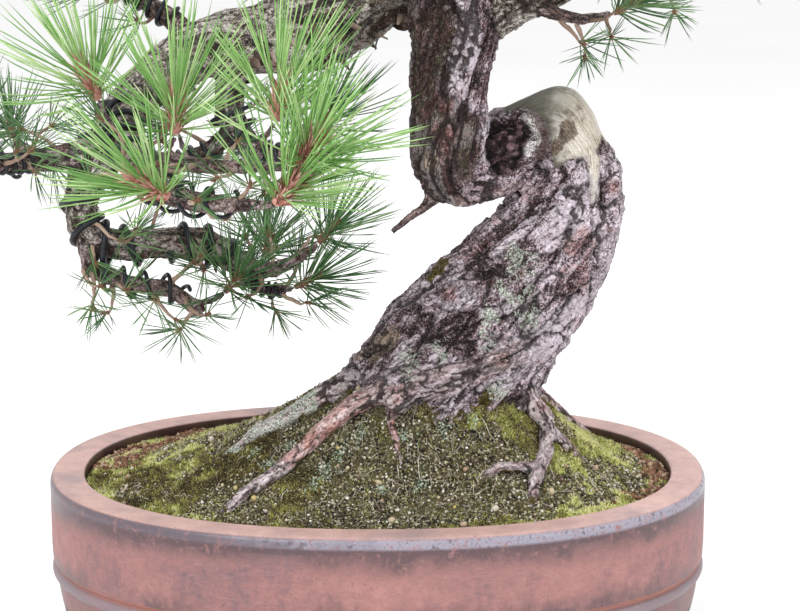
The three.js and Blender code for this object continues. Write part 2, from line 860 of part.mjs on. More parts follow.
// A spray: a slim shoot with whorls of needles all round it. A needle is a long three-sided point that
// rises from one small facet of the shoot, so shoot and needles are one skin.
function spraySolid(shoot) {
  const { base, direction, needleLength, name } = shoot;
  const sides = NEEDLES_PER_WHORL;
  const turnUp = new THREE.Quaternion().setFromUnitVectors(UP, direction);
  const acrossX = new THREE.Vector3(1, 0, 0).applyQuaternion(turnUp);
  const acrossY = new THREE.Vector3(0, 1, 0).applyQuaternion(turnUp);
  const outward = (turn) =>
    acrossX
      .clone()
      .multiplyScalar(Math.cos(turn))
      .addScaledVector(acrossY, Math.sin(turn));
  const positions = [];
  const index = [];
  const ringStarts = [];
  const firstTurn = random() * Math.PI * 2;
  const addRing = (along, radius, turnOffset) => {
    ringStarts.push(positions.length);
    for (let j = 0; j < sides; j++) {
      const turn = firstTurn + turnOffset + (j / sides) * Math.PI * 2;
      const middle = base.clone().addScaledVector(direction, along);
      positions.push(middle.addScaledVector(outward(turn), radius));
    }
  };
  const twist = Math.PI / sides;
  addRing(0, SHOOT_BASE_RADIUS, 0);
  for (let w = 0; w < NEEDLE_WHORLS; w++) {
    const along = WHORL_SPACING * (w + 0.7);
    const radius = SHOOT_RADIUS * (1 - 0.16 * w);
    addRing(along, radius, twist * (w + 1));
    addRing(along + NEEDLE_FOOT, radius * 0.97, twist * (w + 1));
  }
  const own = [];
  for (let r = 0; r + 1 < ringStarts.length; r++) {
    const low = ringStarts[r];
    const high = ringStarts[r + 1];
    const whorl = (r - 1) / 2;
    for (let j = 0; j < sides; j++) {
      const k = (j + 1) % sides;
      index.push(low + k, high + k, high + j);
      const facet = [low + j, low + k, high + j];
      const tip = r % 2 === 1 ? findNeedleTip(facet.map((i) => positions[i]), whorl, j) : null;
      if (tip) {
        positions.push(tip);
        const t = positions.length - 1;
        index.push(facet[0], facet[1], t, facet[1], facet[2], t, facet[2], facet[0], t);
      } else index.push(...facet);
    }
  }
  const last = ringStarts[ringStarts.length - 1];
  positions.push(base.clone());
  const bottom = positions.length - 1;
  positions.push(base.clone().addScaledVector(direction, SHOOT_LENGTH));
  const top = positions.length - 1;
  for (let j = 0; j < sides; j++) {
    const k = (j + 1) % sides;
    index.push(bottom, k, j, top, last + j, last + k);
  }
  for (const [a, b] of own) placeBar(a, b, NEEDLE_RADIUS, name);
  const geometry = new THREE.BufferGeometry();
  geometry.setAttribute(
    "position",
    new THREE.Float32BufferAttribute(positions.flatMap((p) => p.toArray()), 3),
  );
  geometry.setIndex(index);
  return toSolid(geometry);

  // Lower whorls spread wide, upper ones close up round the bud. Returns null if no way is clear.
  function findNeedleTip(facet, whorl, j) {
    const foot = facet.reduce((sum, p) => sum.add(p), new THREE.Vector3()).multiplyScalar(1 / 3);
    const turn = firstTurn + twist * (whorl + 1) + ((j + 0.35) / sides) * Math.PI * 2;
    const share = whorl / Math.max(1, NEEDLE_WHORLS - 1);
    for (let attempt = 0; attempt < 24; attempt++) {
      const loose = 0.1 + attempt * 0.02;
      const spread = THREE.MathUtils.degToRad(66 - 38 * share) + (random() - 0.5) * loose * 2;
      const away = turn + (random() - 0.5) * loose * 2;
      const length = needleLength * (0.84 + 0.3 * random());
      const along = direction
        .clone()
        .multiplyScalar(Math.cos(spread))
        .addScaledVector(outward(away), Math.sin(spread));
      const tip = foot.clone().addScaledVector(along, length);
      const start = foot.clone().addScaledVector(along, 2.5);
      if (tip.z < soilHeight(tip.x, tip.y) + 4) continue;
      if (!isClear(foot, tip, NEEDLE_RADIUS, [name], 0.45)) continue;
      if (own.some(([a, b]) => barDistance(start, tip, a, b) < NEEDLE_RADIUS * 2 + 0.1)) continue;
      own.push([start, tip]);
      return tip;
    }
    return null;
  }
}

// Pot: an oval with a broad rim turned in, an upper band, a bead and a lower body on four feet.
// Its outline is a list of [inset from the widest outline, height], up the outside and down the inside.
function arcPoints(inset, height, radius, fromDegrees, toDegrees, steps) {
  return Array.from({ length: steps + 1 }, (_, i) => {
    const angle = THREE.MathUtils.degToRad(
      THREE.MathUtils.lerp(fromDegrees, toDegrees, i / steps),
    );
    return [inset - radius * Math.cos(angle), height + radius * Math.sin(angle)];
  });
}

const POT_SIDES = 38;
const lowerBody = new THREE.QuadraticBezierCurve(
  new THREE.Vector2(24, FOOT_HEIGHT),
  new THREE.Vector2(7, 22),
  new THREE.Vector2(2.8, 61),
);
const potOutside = [
  ...lowerBody.getPoints(4).map((p) => [p.x, p.y]),
  ...arcPoints(3.4, 65.4, 3.4, -40, 40, 2),
  [3.2, 69.8],
  [0.4, 71.6],
  ...arcPoints(4, POT_HEIGHT - 4, 4, 0, 90, 3),
  ...arcPoints(RIM_WIDTH - 1.5, POT_HEIGHT - 1.5, -1.5, 270, 360, 1),
];
const potInside = [
  [RIM_WIDTH, 113],
  [11, 107],
  [11.5, 70],
  [20, 32],
  [29, FLOOR_HEIGHT],
];

function ovalSolid(outline, bottomHeight, topHeight) {
  const rings = outline.map(([inset, height]) => ovalRing(inset, height, POT_SIDES));
  return toSolid(
    skinOver(rings, new THREE.Vector3(0, 0, bottomHeight), new THREE.Vector3(0, 0, topHeight)),
  );
}

// A foot: a block under the pot's lower edge between two directions round the oval
function footSolid(middleDegrees) {
  const steps = 4;
  const halfAngle = 13;
  const insetOut = [30, 24.5];
  const insetIn = [44, 50];
  const heights = [0, FOOT_HEIGHT + 2];
  const corner = (inset, height, step) => {
    const degrees = middleDegrees - halfAngle + (step / steps) * halfAngle * 2;
    const angle = THREE.MathUtils.degToRad(degrees);
    const c = Math.cos(angle);
    const s = Math.sin(angle);
    const power = 2 / OVAL_POWER;
    return new THREE.Vector3(
      (POT_WIDTH / 2 - inset) * Math.sign(c) * Math.abs(c) ** power,
      (POT_DEPTH / 2 - inset) * Math.sign(s) * Math.abs(s) ** power,
      height,
    );
  };
  const rings = [];
  for (let step = 0; step <= steps; step++)
    rings.push([
      corner(insetOut[0], heights[0], step),
      corner(insetIn[0], heights[0], step),
      corner(insetIn[1], heights[1], step),
      corner(insetOut[1], heights[1], step),
    ]);
  const middle = (ring) =>
    ring.reduce((sum, p) => sum.add(p), new THREE.Vector3()).multiplyScalar(1 / ring.length);
  return toSolid(skinOver(rings, middle(rings[0]), middle(rings[steps])));
}

function uprightCylinder(radius, low, high, x, y, sides) {
  const cylinder = new THREE.CylinderGeometry(radius, radius, high - low, sides);
  cylinder.rotateX(Math.PI / 2);
  cylinder.translate(x, y, (low + high) / 2);
  return toSolid(cylinder);
}

function boxSolid(size, centre) {
  const box = new THREE.BoxGeometry(...size);
  box.translate(...centre);
  return toSolid(box);
}

function potSolid() {
  const body = ovalSolid([...potOutside, ...potInside], FOOT_HEIGHT, FLOOR_HEIGHT);
  let pot = joined([body, ...[40, 140, 220, 320].map(footSolid)]);
  for (const x of [-DRAIN_OFFSET, DRAIN_OFFSET])
    pot = pot.subtract(uprightCylinder(DRAIN_RADIUS, 0, FLOOR_HEIGHT + 5, x, 0, 16));
  return pot;
}

// Drain screen: a square of stiff mesh over a drain hole
function screenSolid(x) {
  const middle = FLOOR_HEIGHT + GAP + SCREEN_THICKNESS / 2;
  let screen = boxSolid([SCREEN_SIDE, SCREEN_SIDE, SCREEN_THICKNESS], [x, 0, middle]);
  const hole = SCREEN_SIDE * 0.38;
  for (const i of [-0.5, 0.5])
    for (const j of [-0.5, 0.5]) {
      const centre = [x + i * (hole + 2), j * (hole + 2), middle];
      screen = screen.subtract(boxSolid([hole, hole, 4], centre));
    }
  return screen;
}

// Earth: the pot's inside, topped by the mound, with holes for the trunk, the roots and the screens
function soilSolid() {
  const gap = GAP + 0.1;
  const bottom = FLOOR_HEIGHT + gap;
  const wall = [...potInside].reverse().map(([inset, height]) => [inset + gap, height - gap * 0.6]);
  wall[0] = [wall[0][0] + 0.6, bottom];
  const rings = wall.map(([inset, height]) => ovalRing(inset, height, POT_SIDES));
  const edge = ovalRing(RIM_WIDTH + gap, SOIL_EDGE_HEIGHT, POT_SIDES);
  rings.push(edge);
  const shares = [0.8, 0.6, 0.42, 0.26, 0.12, 0];
  for (const share of shares)
    rings.push(
      edge.map((p) => {
        const dx = p.x - SOIL_CROWN.x;
        const dy = p.y - SOIL_CROWN.y;
        const distance = Math.hypot(dx, dy);
        const { crown } = soilReach(dx / distance, dy / distance);
        const reach = THREE.MathUtils.lerp(crown, distance, share);
        const x = SOIL_CROWN.x + (dx / distance) * reach;
        const y = SOIL_CROWN.y + (dy / distance) * reach;
        const bump = share > 0 ? (random() - 0.5) * 1.8 : 0;
        return new THREE.Vector3(x, y, soilHeight(x, y) + bump);
      }),
    );
  const top = new THREE.Vector3(SOIL_CROWN.x, SOIL_CROWN.y, SOIL_TOP_HEIGHT);
  let soil = toSolid(skinOver(rings, new THREE.Vector3(0, 0, bottom), top));
  const socket = makeLimb(trunkBase.stations, { sides: 16, rings: 11, bark: 1 });
  const holes = [toSolid(limbGeometry(socket, { to: 6 / 11, extra: GAP + 1.6 }))];
  for (const root of roots) holes.push(toSolid(limbGeometry(root, { extra: GAP })));
  soil = soil.subtract(joined(holes));
  const pocket = SCREEN_THICKNESS + GAP * 2;
  for (const x of [-DRAIN_OFFSET, DRAIN_OFFSET])
    soil = soil.subtract(
      boxSolid([SCREEN_SIDE + 1, SCREEN_SIDE + 1, pocket], [x, 0, FLOOR_HEIGHT + pocket / 2 + 0.2]),
    );
  return largestBody(soil);
}

// The tree: everything that grew as one piece
function treeSolid() {
  const limbs = [...trunkSolids, ...roots, deadStub, ...Object.values(branches), ...twigs];
  return largestBody(joined(limbs.map((limb) => toSolid(limbGeometry(limb)))));
}

// Colours and finishes
const materials = {
  pot: new THREE.MeshStandardMaterial({ color: 0xa8716a, roughness: 0.55 }),
  soil: new THREE.MeshStandardMaterial({ color: 0x5c5a2c, roughness: 0.95 }),
  bark: new THREE.MeshStandardMaterial({ color: 0x75605b, roughness: 0.9 }),
  needles: new THREE.MeshStandardMaterial({ color: 0x5f9a4c, roughness: 0.5 }),
  wire: new THREE.MeshStandardMaterial({ color: 0x2b2a2c, roughness: 0.45, metalness: 0.7 }),
  screen: new THREE.MeshStandardMaterial({ color: 0x26282a, roughness: 0.7 }),
};

const bonsai = new THREE.Group();

function addNode(name, solid, material) {
  const mesh = new THREE.Mesh(toGeometry(solid), material);
  mesh.name = name;
  bonsai.add(mesh);
}

addNode("pot", potSolid(), materials.pot);
addNode("drain_screen_left", screenSolid(-DRAIN_OFFSET), materials.screen);
addNode("drain_screen_right", screenSolid(DRAIN_OFFSET), materials.screen);
addNode("soil", soilSolid(), materials.soil);
addNode("trunk", treeSolid(), materials.bark);
for (const [name, plan] of Object.entries(wirePlans))
  addNode(name, toSolid(wireGeometry(plan)), materials.wire);
for (const shoot of shoots) addNode(shoot.name, spraySolid(shoot), materials.needles);

// The origin is at the middle of the whole plant's outline, on the surface the pot stands on.
const bounds = new THREE.Box3().setFromObject(bonsai);
const middle = bounds.getCenter(new THREE.Vector3());
bonsai.position.set(-middle.x, -middle.y, 0);

export default bonsai;
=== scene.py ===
import math

import bpy
import numpy as np
from mathutils import Matrix, Vector
from mathutils.bvhtree import BVHTree

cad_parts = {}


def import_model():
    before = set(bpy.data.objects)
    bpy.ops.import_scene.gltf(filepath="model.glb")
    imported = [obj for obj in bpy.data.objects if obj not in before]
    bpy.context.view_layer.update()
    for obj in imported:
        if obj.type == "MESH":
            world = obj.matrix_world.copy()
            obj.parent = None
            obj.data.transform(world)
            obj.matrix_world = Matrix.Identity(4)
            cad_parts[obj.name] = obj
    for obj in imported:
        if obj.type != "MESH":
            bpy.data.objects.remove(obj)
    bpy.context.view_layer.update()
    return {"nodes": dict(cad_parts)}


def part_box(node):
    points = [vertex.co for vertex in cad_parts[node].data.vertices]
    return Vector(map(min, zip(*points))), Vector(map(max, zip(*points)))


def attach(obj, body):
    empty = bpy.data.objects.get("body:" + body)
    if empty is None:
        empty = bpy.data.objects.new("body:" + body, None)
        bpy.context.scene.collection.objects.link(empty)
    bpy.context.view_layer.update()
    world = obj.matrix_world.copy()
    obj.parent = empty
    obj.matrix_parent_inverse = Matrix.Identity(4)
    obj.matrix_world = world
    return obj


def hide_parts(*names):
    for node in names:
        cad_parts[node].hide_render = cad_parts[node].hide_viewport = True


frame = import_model()

# A pine bonsai in an oval pot. Lengths in this script are millimetres in the pot's own frame, with the
# origin under the pot's middle, and world() turns them into metres in the frame of the CAD model.
MM = 0.001
pot_low, pot_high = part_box("pot")
POT_MIDDLE = np.array([(pot_low[0] + pot_high[0]) / 2, (pot_low[1] + pot_high[1]) / 2, 0.0])
POT_HALF_WIDTH = (pot_high[0] - pot_low[0]) / 2 / MM
POT_HALF_DEPTH = (pot_high[1] - pot_low[1]) / 2 / MM
POT_HEIGHT = pot_high[2] / MM
FOOT_HEIGHT = 12.0
FLOOR_HEIGHT = 20.0
OVAL_POWER = 2.2
RIM_WIDTH = 20.0
DRAIN_RADIUS = 11.0
DRAIN_OFFSET = 72.0

SOIL_EDGE_HEIGHT = 114.0
SOIL_TOP_HEIGHT = 172.0
SOIL_CROWN = np.array([28.0, -4.0])
SOIL_CROWN_HALF_WIDTH = 53.0
SOIL_CROWN_HALF_DEPTH = 45.0
SOIL_SLOPE_POWER = 1.7
# Between the soil's edge and the pot's inner wall
SOIL_GAP = 0.45


def world(points):
    return np.asarray(points, dtype=float) * MM + POT_MIDDLE


def local(points):
    return (np.asarray(points, dtype=float) - POT_MIDDLE) / MM


# Hashed noise, worked out for whole arrays of points at once

def lattice_hash(cells, seed):
    c = cells.astype(np.int64)
    h = (c[..., 0] * 73856093) ^ (c[..., 1] * 19349663) ^ (c[..., 2] * 83492791) ^ (seed * 2654435761)
    h = (h ^ (h >> 13)) & 0xFFFFFFFF
    h = (h * 1274126177) & 0xFFFFFFFF
    h = (h ^ (h >> 16)) & 0xFFFFFFFF
    h = (h * 2246822519) & 0xFFFFFFFF
    return ((h ^ (h >> 13)) & 0xFFFFFF) / 0xFFFFFF


def value_noise(points, seed=0):
    base = np.floor(points)
    f = points - base
    f = f * f * (3 - 2 * f)
    total = np.zeros(points.shape[0])
    for corner in np.ndindex(2, 2, 2):
        offset = np.array(corner)
        weight = np.prod(np.where(offset == 1, f, 1 - f), axis=1)
        total += weight * lattice_hash(base + offset, seed)
    return total * 2 - 1


def fractal(points, octaves=4, seed=0):
    total = np.zeros(points.shape[0])
    amplitude = 0.5
    for octave in range(octaves):
        total += amplitude * value_noise(points * 2.03**octave + 17.3 * octave, seed + octave)
        amplitude *= 0.5
    return total


def cells(points, seed=0):
    """Distances to the nearest two seeds, and the nearest one's own random number."""
    base = np.floor(points)
    first = np.full(points.shape[0], 9.0)
    second = np.full(points.shape[0], 9.0)
    number = np.zeros(points.shape[0])
    for corner in np.ndindex(3, 3, 3):
        cell = base + np.array(corner) - 1
        jitter = np.stack([lattice_hash(cell, seed + k) for k in range(3)], axis=1)
        distance = np.linalg.norm(points - (cell + jitter), axis=1)
        nearer = distance < first
        second = np.where(nearer, first, np.minimum(second, distance))
        first = np.where(nearer, distance, first)
        number[nearer] = lattice_hash(cell, seed + 7)[nearer]
    return first, second, number


def smoothstep(low, high, x):
    t = np.clip((x - low) / (high - low), 0, 1)
    return t * t * (3 - 2 * t)


def unit(vectors):
    return vectors / np.maximum(np.linalg.norm(vectors, axis=-1, keepdims=True), 1e-9)


def valley(noise_values, width):
    """1 along the lines where a noise crosses zero, which wander like cracks."""
    return np.exp(-((noise_values / width) ** 2))


def terrace(noise_values, levels, edge=0.35):
    """Turns a smooth noise into flat flakes with steep edges, from 0 to 1."""
    t = (np.clip(noise_values, -0.5, 0.5) + 0.5) * levels
    base = np.floor(t)
    return (base + smoothstep(0, edge, t - base)) / levels


def distance_to_line(points, line):
    """Distance from each point to a chain of straight stretches, and the share of the chain there."""
    line = np.asarray(line, dtype=float)
    best = np.full(len(points), 1e9)
    share = np.zeros(len(points))
    for i in range(len(line) - 1):
        way = line[i + 1] - line[i]
        t = np.clip(((points - line[i]) @ way) / way.dot(way), 0, 1)
        distance = np.linalg.norm(points - line[i] - t[:, None] * way, axis=1)
        nearer = distance < best
        best = np.where(nearer, distance, best)
        share = np.where(nearer, (i + t) / (len(line) - 1), share)
    return best, share


# Meshes

def new_object(name, data):
    obj = bpy.data.objects.new(name, data)
    bpy.context.scene.collection.objects.link(obj)
    return obj


def mesh_from(name, vertices, faces, smooth=True):
    mesh = bpy.data.meshes.new(name)
    mesh.from_pydata([tuple(v) for v in vertices], [], [tuple(int(i) for i in f) for f in faces])
    mesh.update()
    if smooth:
        mesh.shade_smooth()
    return mesh


def solid(name, vertices, faces, smooth=True):
    """An object with a mesh given in this script's millimetres."""
    return new_object(name, mesh_from(name, world(vertices), faces, smooth))


def triangles_object(name, vertices, triangles, smooth=True):
    """A mesh from arrays, quicker than from lists when there are many small pieces."""
    mesh = bpy.data.meshes.new(name)
    count = len(triangles)
    mesh.vertices.add(len(vertices))
    mesh.vertices.foreach_set("co", np.asarray(vertices, dtype=np.float32).ravel())
    mesh.loops.add(count * 3)
    mesh.loops.foreach_set("vertex_index", np.asarray(triangles, dtype=np.int32).ravel())
    mesh.polygons.add(count)
    mesh.polygons.foreach_set("loop_start", np.arange(0, count * 3, 3, dtype=np.int32))
    mesh.update(calc_edges=True)
    mesh.validate()
    if smooth:
        mesh.shade_smooth()
    return new_object(name, mesh)


def repeated(faces, count, step):
    """The faces of one small piece, given again for each of many, whose vertices follow on by a step."""
    return (np.array(faces)[None] + (np.arange(count) * step)[:, None, None]).reshape(-1, 3)


def ring_triangles(rings, sides):
    """Triangles of the skin over rings of equal count."""
    faces = []
    for low in range(0, (rings - 1) * sides, sides):
        high = low + sides
        for k in range(sides):
            m = (k + 1) % sides
            faces += [(low + k, low + m, high + m), (low + k, high + m, high + k)]
    return faces


def circle(side, other, count):
    """Directions evenly spread round an axis."""
    angles = [k * 2 * math.pi / count for k in range(count)]
    return [side * math.cos(a) + other * math.sin(a) for a in angles]


def set_attribute(mesh, name, values, kind="FLOAT"):
    attribute = mesh.attributes.new(name, kind, "POINT")
    key = "vector" if kind == "FLOAT_VECTOR" else "value"
    attribute.data.foreach_set(key, np.asarray(values, dtype=np.float32).ravel())


def bake_modifiers(obj):
    depsgraph = bpy.context.evaluated_depsgraph_get()
    mesh = bpy.data.meshes.new_from_object(obj.evaluated_get(depsgraph))
    obj.modifiers.clear()
    obj.data = mesh


def read_rows(collection, key, width, kind):
    """A property of every item of a mesh, as one array."""
    values = np.empty(len(collection) * width, dtype=kind)
    collection.foreach_get(key, values)
    return values.reshape(-1, width)


def coordinates(mesh):
    return read_rows(mesh.vertices, "co", 3, np.float32).astype(float)


def vertex_normals(mesh):
    return read_rows(mesh.vertex_normals, "vector", 3, np.float32).astype(float)


def mesh_edges(mesh):
    return read_rows(mesh.edges, "vertices", 2, np.int32)


def put_coordinates(mesh, points):
    mesh.vertices.foreach_set("co", world(points).astype(np.float32).ravel())
    mesh.update()


def paint(obj, material):
    obj.data.materials.clear()
    obj.data.materials.append(material)


# Materials

class Signal:
    """A node's output, which sums and products turn into math nodes."""

    def __init__(self, graph, socket):
        self.graph = graph
        self.socket = socket

    def __add__(self, other):
        return self.graph.math("ADD", self, other)

    def __sub__(self, other):
        return self.graph.math("SUBTRACT", self, other)

    def __rsub__(self, other):
        return self.graph.math("SUBTRACT", other, self)

    def __mul__(self, other):
        return self.graph.math("MULTIPLY", self, other)

    def __abs__(self):
        return self.graph.math("ABSOLUTE", self)


class Graph:
    """A material's node tree, with short names for the nodes that these materials use."""

    def __init__(self, name, roughness=0.8, specular=0.5):
        self.material = bpy.data.materials.new(name)
        self.material.use_nodes = True
        self.tree = self.material.node_tree
        self.shader = self.tree.nodes["Principled BSDF"]
        self.feed(self.shader, {"Roughness": roughness, "Specular IOR Level": specular})

    def feed(self, node, inputs):
        for key, value in inputs.items():
            socket = node.inputs[key]
            if isinstance(value, Signal):
                self.tree.links.new(value.socket, socket)
            elif socket.type == "RGBA":
                socket.default_value = (*value, 1.0)
            else:
                socket.default_value = value

    def add(self, kind, inputs, output, **settings):
        """A new node of a kind with its inputs and settings. Gives the named output."""
        node = self.tree.nodes.new("ShaderNode" + kind)
        for key, value in settings.items():
            setattr(node, key, value)
        self.feed(node, inputs)
        return Signal(self, node.outputs[output])

    def attribute(self, name, output="Fac"):
        return self.add("Attribute", {}, output, attribute_name=name)

    def place(self):
        return self.add("TexCoord", {}, "Object")

    def axes(self, vector):
        """The x, y and z parts of a vector."""
        outputs = self.add("SeparateXYZ", {0: vector}, 0).socket.node.outputs
        return [Signal(self, output) for output in outputs]

    def stretched(self, vector, scale):
        return self.add("Mapping", {"Vector": vector, "Scale": scale}, "Vector")

    def noise(self, vector, scale, detail=4.0, roughness=0.55, distortion=0.0):
        inputs = {"Vector": vector, "Scale": scale, "Detail": detail, "Roughness": roughness,
                  "Distortion": distortion}
        return self.add("TexNoise", inputs, "Fac")

    def warped(self, vector, scale, amount):
        """The vector, pushed about by a noise."""
        push = self.add("TexNoise", {"Vector": vector, "Scale": scale, "Detail": 3.0}, "Color")
        inputs = {0: push, 1: (amount,) * 3, 2: vector}
        return self.add("VectorMath", inputs, "Vector", operation="MULTIPLY_ADD")

    def voronoi(self, vector, scale, feature="F1", output="Distance"):
        return self.add("TexVoronoi", {"Vector": vector, "Scale": scale}, output, feature=feature)

    def math(self, operation, a, b=0.0):
        return self.add("Math", {0: a, 1: b}, 0, operation=operation)

    def most(self, a, b):
        return self.math("MAXIMUM", a, b)

    def between(self, value, low, high):
        """0 at low and 1 at high, with a smooth step from one to the other."""
        inputs = {"Value": value, "From Min": low, "From Max": high}
        return self.add("MapRange", inputs, "Result", interpolation_type="SMOOTHSTEP")

    def ramp(self, value, stops):
        colour = self.add("ValToRGB", {"Fac": value}, "Color")
        elements = colour.socket.node.color_ramp.elements
        while len(elements) < len(stops):
            elements.new(0.5)
        for element, (position, rgb) in zip(elements, stops):
            element.position = position
            element.color = (*rgb, 1.0)
        return colour

    def mix(self, factor, a, b, blend="MIX"):
        return self.add("Mix", {0: factor, 6: a, 7: b}, 2, data_type="RGBA", blend_type=blend)

    def bump(self, height, strength, distance_mm, before=None):
        inputs = {"Height": height, "Strength": strength, "Distance": distance_mm * MM}
        if before is not None:
            inputs["Normal"] = before
        return self.add("Bump", inputs, "Normal")

    def finish(self, colour, roughness=None, normal=None):
        inputs = {"Base Color": colour, "Roughness": roughness, "Normal": normal}
        self.feed(self.shader, {key: value for key, value in inputs.items() if value is not None})
        return self.material


# Camera, at the photo's place and angle
CAMERA_PLACE = (1.71, -1378.83, 520.33)
CAMERA_FORWARD = Vector((0.00781, 0.97630, -0.21628)).normalized()
FOCAL_PIXELS = 2456
FRAME_PIXELS = 800
SENSOR_WIDTH = 36.0

camera = new_object("camera", bpy.data.cameras.new("camera"))
camera.location = Vector(world(CAMERA_PLACE))
camera_right = CAMERA_FORWARD.cross(Vector((0, 0, 1))).normalized()
camera_up = camera_right.cross(CAMERA_FORWARD)
camera.rotation_euler = Matrix((camera_right, camera_up, -CAMERA_FORWARD)).transposed().to_euler()
camera.data.sensor_fit = "HORIZONTAL"
camera.data.sensor_width = SENSOR_WIDTH
camera.data.lens = SENSOR_WIDTH * FOCAL_PIXELS / FRAME_PIXELS
camera.data.clip_start = 0.01
camera.data.clip_end = 100.0
bpy.context.scene.camera = camera


# Pot

def oval_ring(inset, height, angles):
    power = 2 / OVAL_POWER
    c = np.cos(angles)
    s = np.sin(angles)
    x = (POT_HALF_WIDTH - inset) * np.sign(c) * np.abs(c) ** power
    y = (POT_HALF_DEPTH - inset) * np.sign(s) * np.abs(s) ** power
    return np.stack([x, y, np.full_like(x, height)], axis=1)


def even_oval_angles(count):
    """Angles that step evenly along the oval, so that its skin has no long faces at the ends."""
    fine = np.linspace(0, 2 * math.pi, 7201)
    ring = oval_ring(0, 0, fine)
    length = np.concatenate([[0], np.cumsum(np.linalg.norm(np.diff(ring, axis=0), axis=1))])
    return np.interp(np.linspace(0, length[-1], count, endpoint=False), length, fine)


def arc(inset, height, radius, start, end, steps):
    angles = np.radians(np.linspace(start, end, steps + 1))
    return [(inset - radius * math.cos(a), height + radius * math.sin(a)) for a in angles]


def straight(start, end, steps):
    return [
        (start[0] + (end[0] - start[0]) * i / steps, start[1] + (end[1] - start[1]) * i / steps)
        for i in range(1, steps + 1)
    ]


def bowl_curve(steps):
    a, b, c = (24.0, FOOT_HEIGHT), (7.0, 22.0), (2.8, 61.0)
    points = []
    for i in range(steps + 1):
        t = i / steps
        points.append(
            tuple((1 - t) ** 2 * a[k] + 2 * t * (1 - t) * b[k] + t * t * c[k] for k in range(2))
        )
    return points


def pot_profile():
    top = POT_HEIGHT
    return (
        bowl_curve(18)
        + arc(3.4, 65.4, 3.4, -42, 60, 12)
        + [(3.3, 68.9), (3.5, 69.6), (3.2, 70.4), (1.2, 71.4), (0.55, 72.2)]
        + straight((0.55, 72.2), (0.1, 80), 3)
        + straight((0.1, 80), (0.0, top - 4.2), 10)
        + arc(4.2, top - 4.2, 4.2, 8, 90, 10)
        + straight((4.2, top), (RIM_WIDTH - 2, top - 0.25), 6)
        + arc(RIM_WIDTH - 1.8, top - 2.0, -1.8, 280, 360, 5)
        + [(RIM_WIDTH, 113.5), (RIM_WIDTH - 2, 111), (11, 107), (11.5, 70), (20, 32), (29, FLOOR_HEIGHT)]
    )


def skin(rings, cap_first=True, cap_last=True):
    """Vertices and faces over rings of equal count."""
    count = len(rings[0])
    vertices = np.concatenate(rings)
    faces = []
    for i in range(len(rings) - 1):
        low, high = i * count, (i + 1) * count
        for j in range(count):
            k = (j + 1) % count
            faces.append((low + j, low + k, high + k, high + j))
    if cap_first:
        faces.append(tuple(reversed(range(count))))
    if cap_last:
        start = (len(rings) - 1) * count
        faces.append(tuple(start + j for j in range(count)))
    return vertices, faces


def foot_block(middle, half=13.0, steps=8):
    outer = ((30.0, 0.0), (29.2, 1.0), (26.5, 8.0), (24.5, FOOT_HEIGHT + 2))
    inner = ((50.0, FOOT_HEIGHT + 2), (46.0, 2.0), (44.0, 0.0))
    rings = []
    for step in range(steps + 1):
        angle = np.radians([middle - half + 2 * half * step / steps])
        rings.append(np.concatenate([oval_ring(i, z, angle) for i, z in outer + inner]))
    return skin(rings)


POT_SPOKES = 224
DRAIN_SIDES = 40
FOOT_ANGLES = (40, 140, 220, 320)


def build_pot():
    angles = even_oval_angles(POT_SPOKES)
    rings = [oval_ring(inset, height, angles) for inset, height in pot_profile()]
    vertices, faces = skin(rings)
    vertices = vertices.copy()
    # Hand-made: the wall wanders a little.
    wander = fractal(vertices * 0.012, 2, 3)
    scale = 1 + (wander * 0.45 - 0.3) / 190
    vertices[:, :2] *= scale[:, None]
    pot = solid("pot_body", vertices, faces)
    for x in (-DRAIN_OFFSET, DRAIN_OFFSET):
        ring = [(x + DRAIN_RADIUS * math.cos(a), DRAIN_RADIUS * math.sin(a))
                for a in np.linspace(0, 2 * math.pi, DRAIN_SIDES, endpoint=False)]
        rings = [np.array([(p[0], p[1], z) for p in ring]) for z in (-2.0, FLOOR_HEIGHT + 4)]
        cutter = solid("cutter", *skin(rings))
        modifier = pot.modifiers.new("drain", "BOOLEAN")
        modifier.operation = "DIFFERENCE"
        modifier.object = cutter
        bake_modifiers(pot)
        bpy.data.objects.remove(cutter)
    # Feet sink into the body, so they are part of the same mesh without a cut between them.
    parts = [pot]
    for middle in FOOT_ANGLES:
        parts.append(solid("foot", *foot_block(middle), False))
    with bpy.context.temp_override(active_object=pot, selected_editable_objects=parts):
        bpy.ops.object.join()
    x, y, z = local(coordinates(pot.data)).T
    size = ((np.abs(x) / POT_HALF_WIDTH) ** OVAL_POWER
            + (np.abs(y) / POT_HALF_DEPTH) ** OVAL_POWER) ** (1 / OVAL_POWER)
    depth = (1 - size) * POT_HALF_DEPTH
    inner = (depth > 4) & (z < POT_HEIGHT - 0.8) & (z > 30)
    set_attribute(pot.data, "inner", inner * 1.0)
    return pot


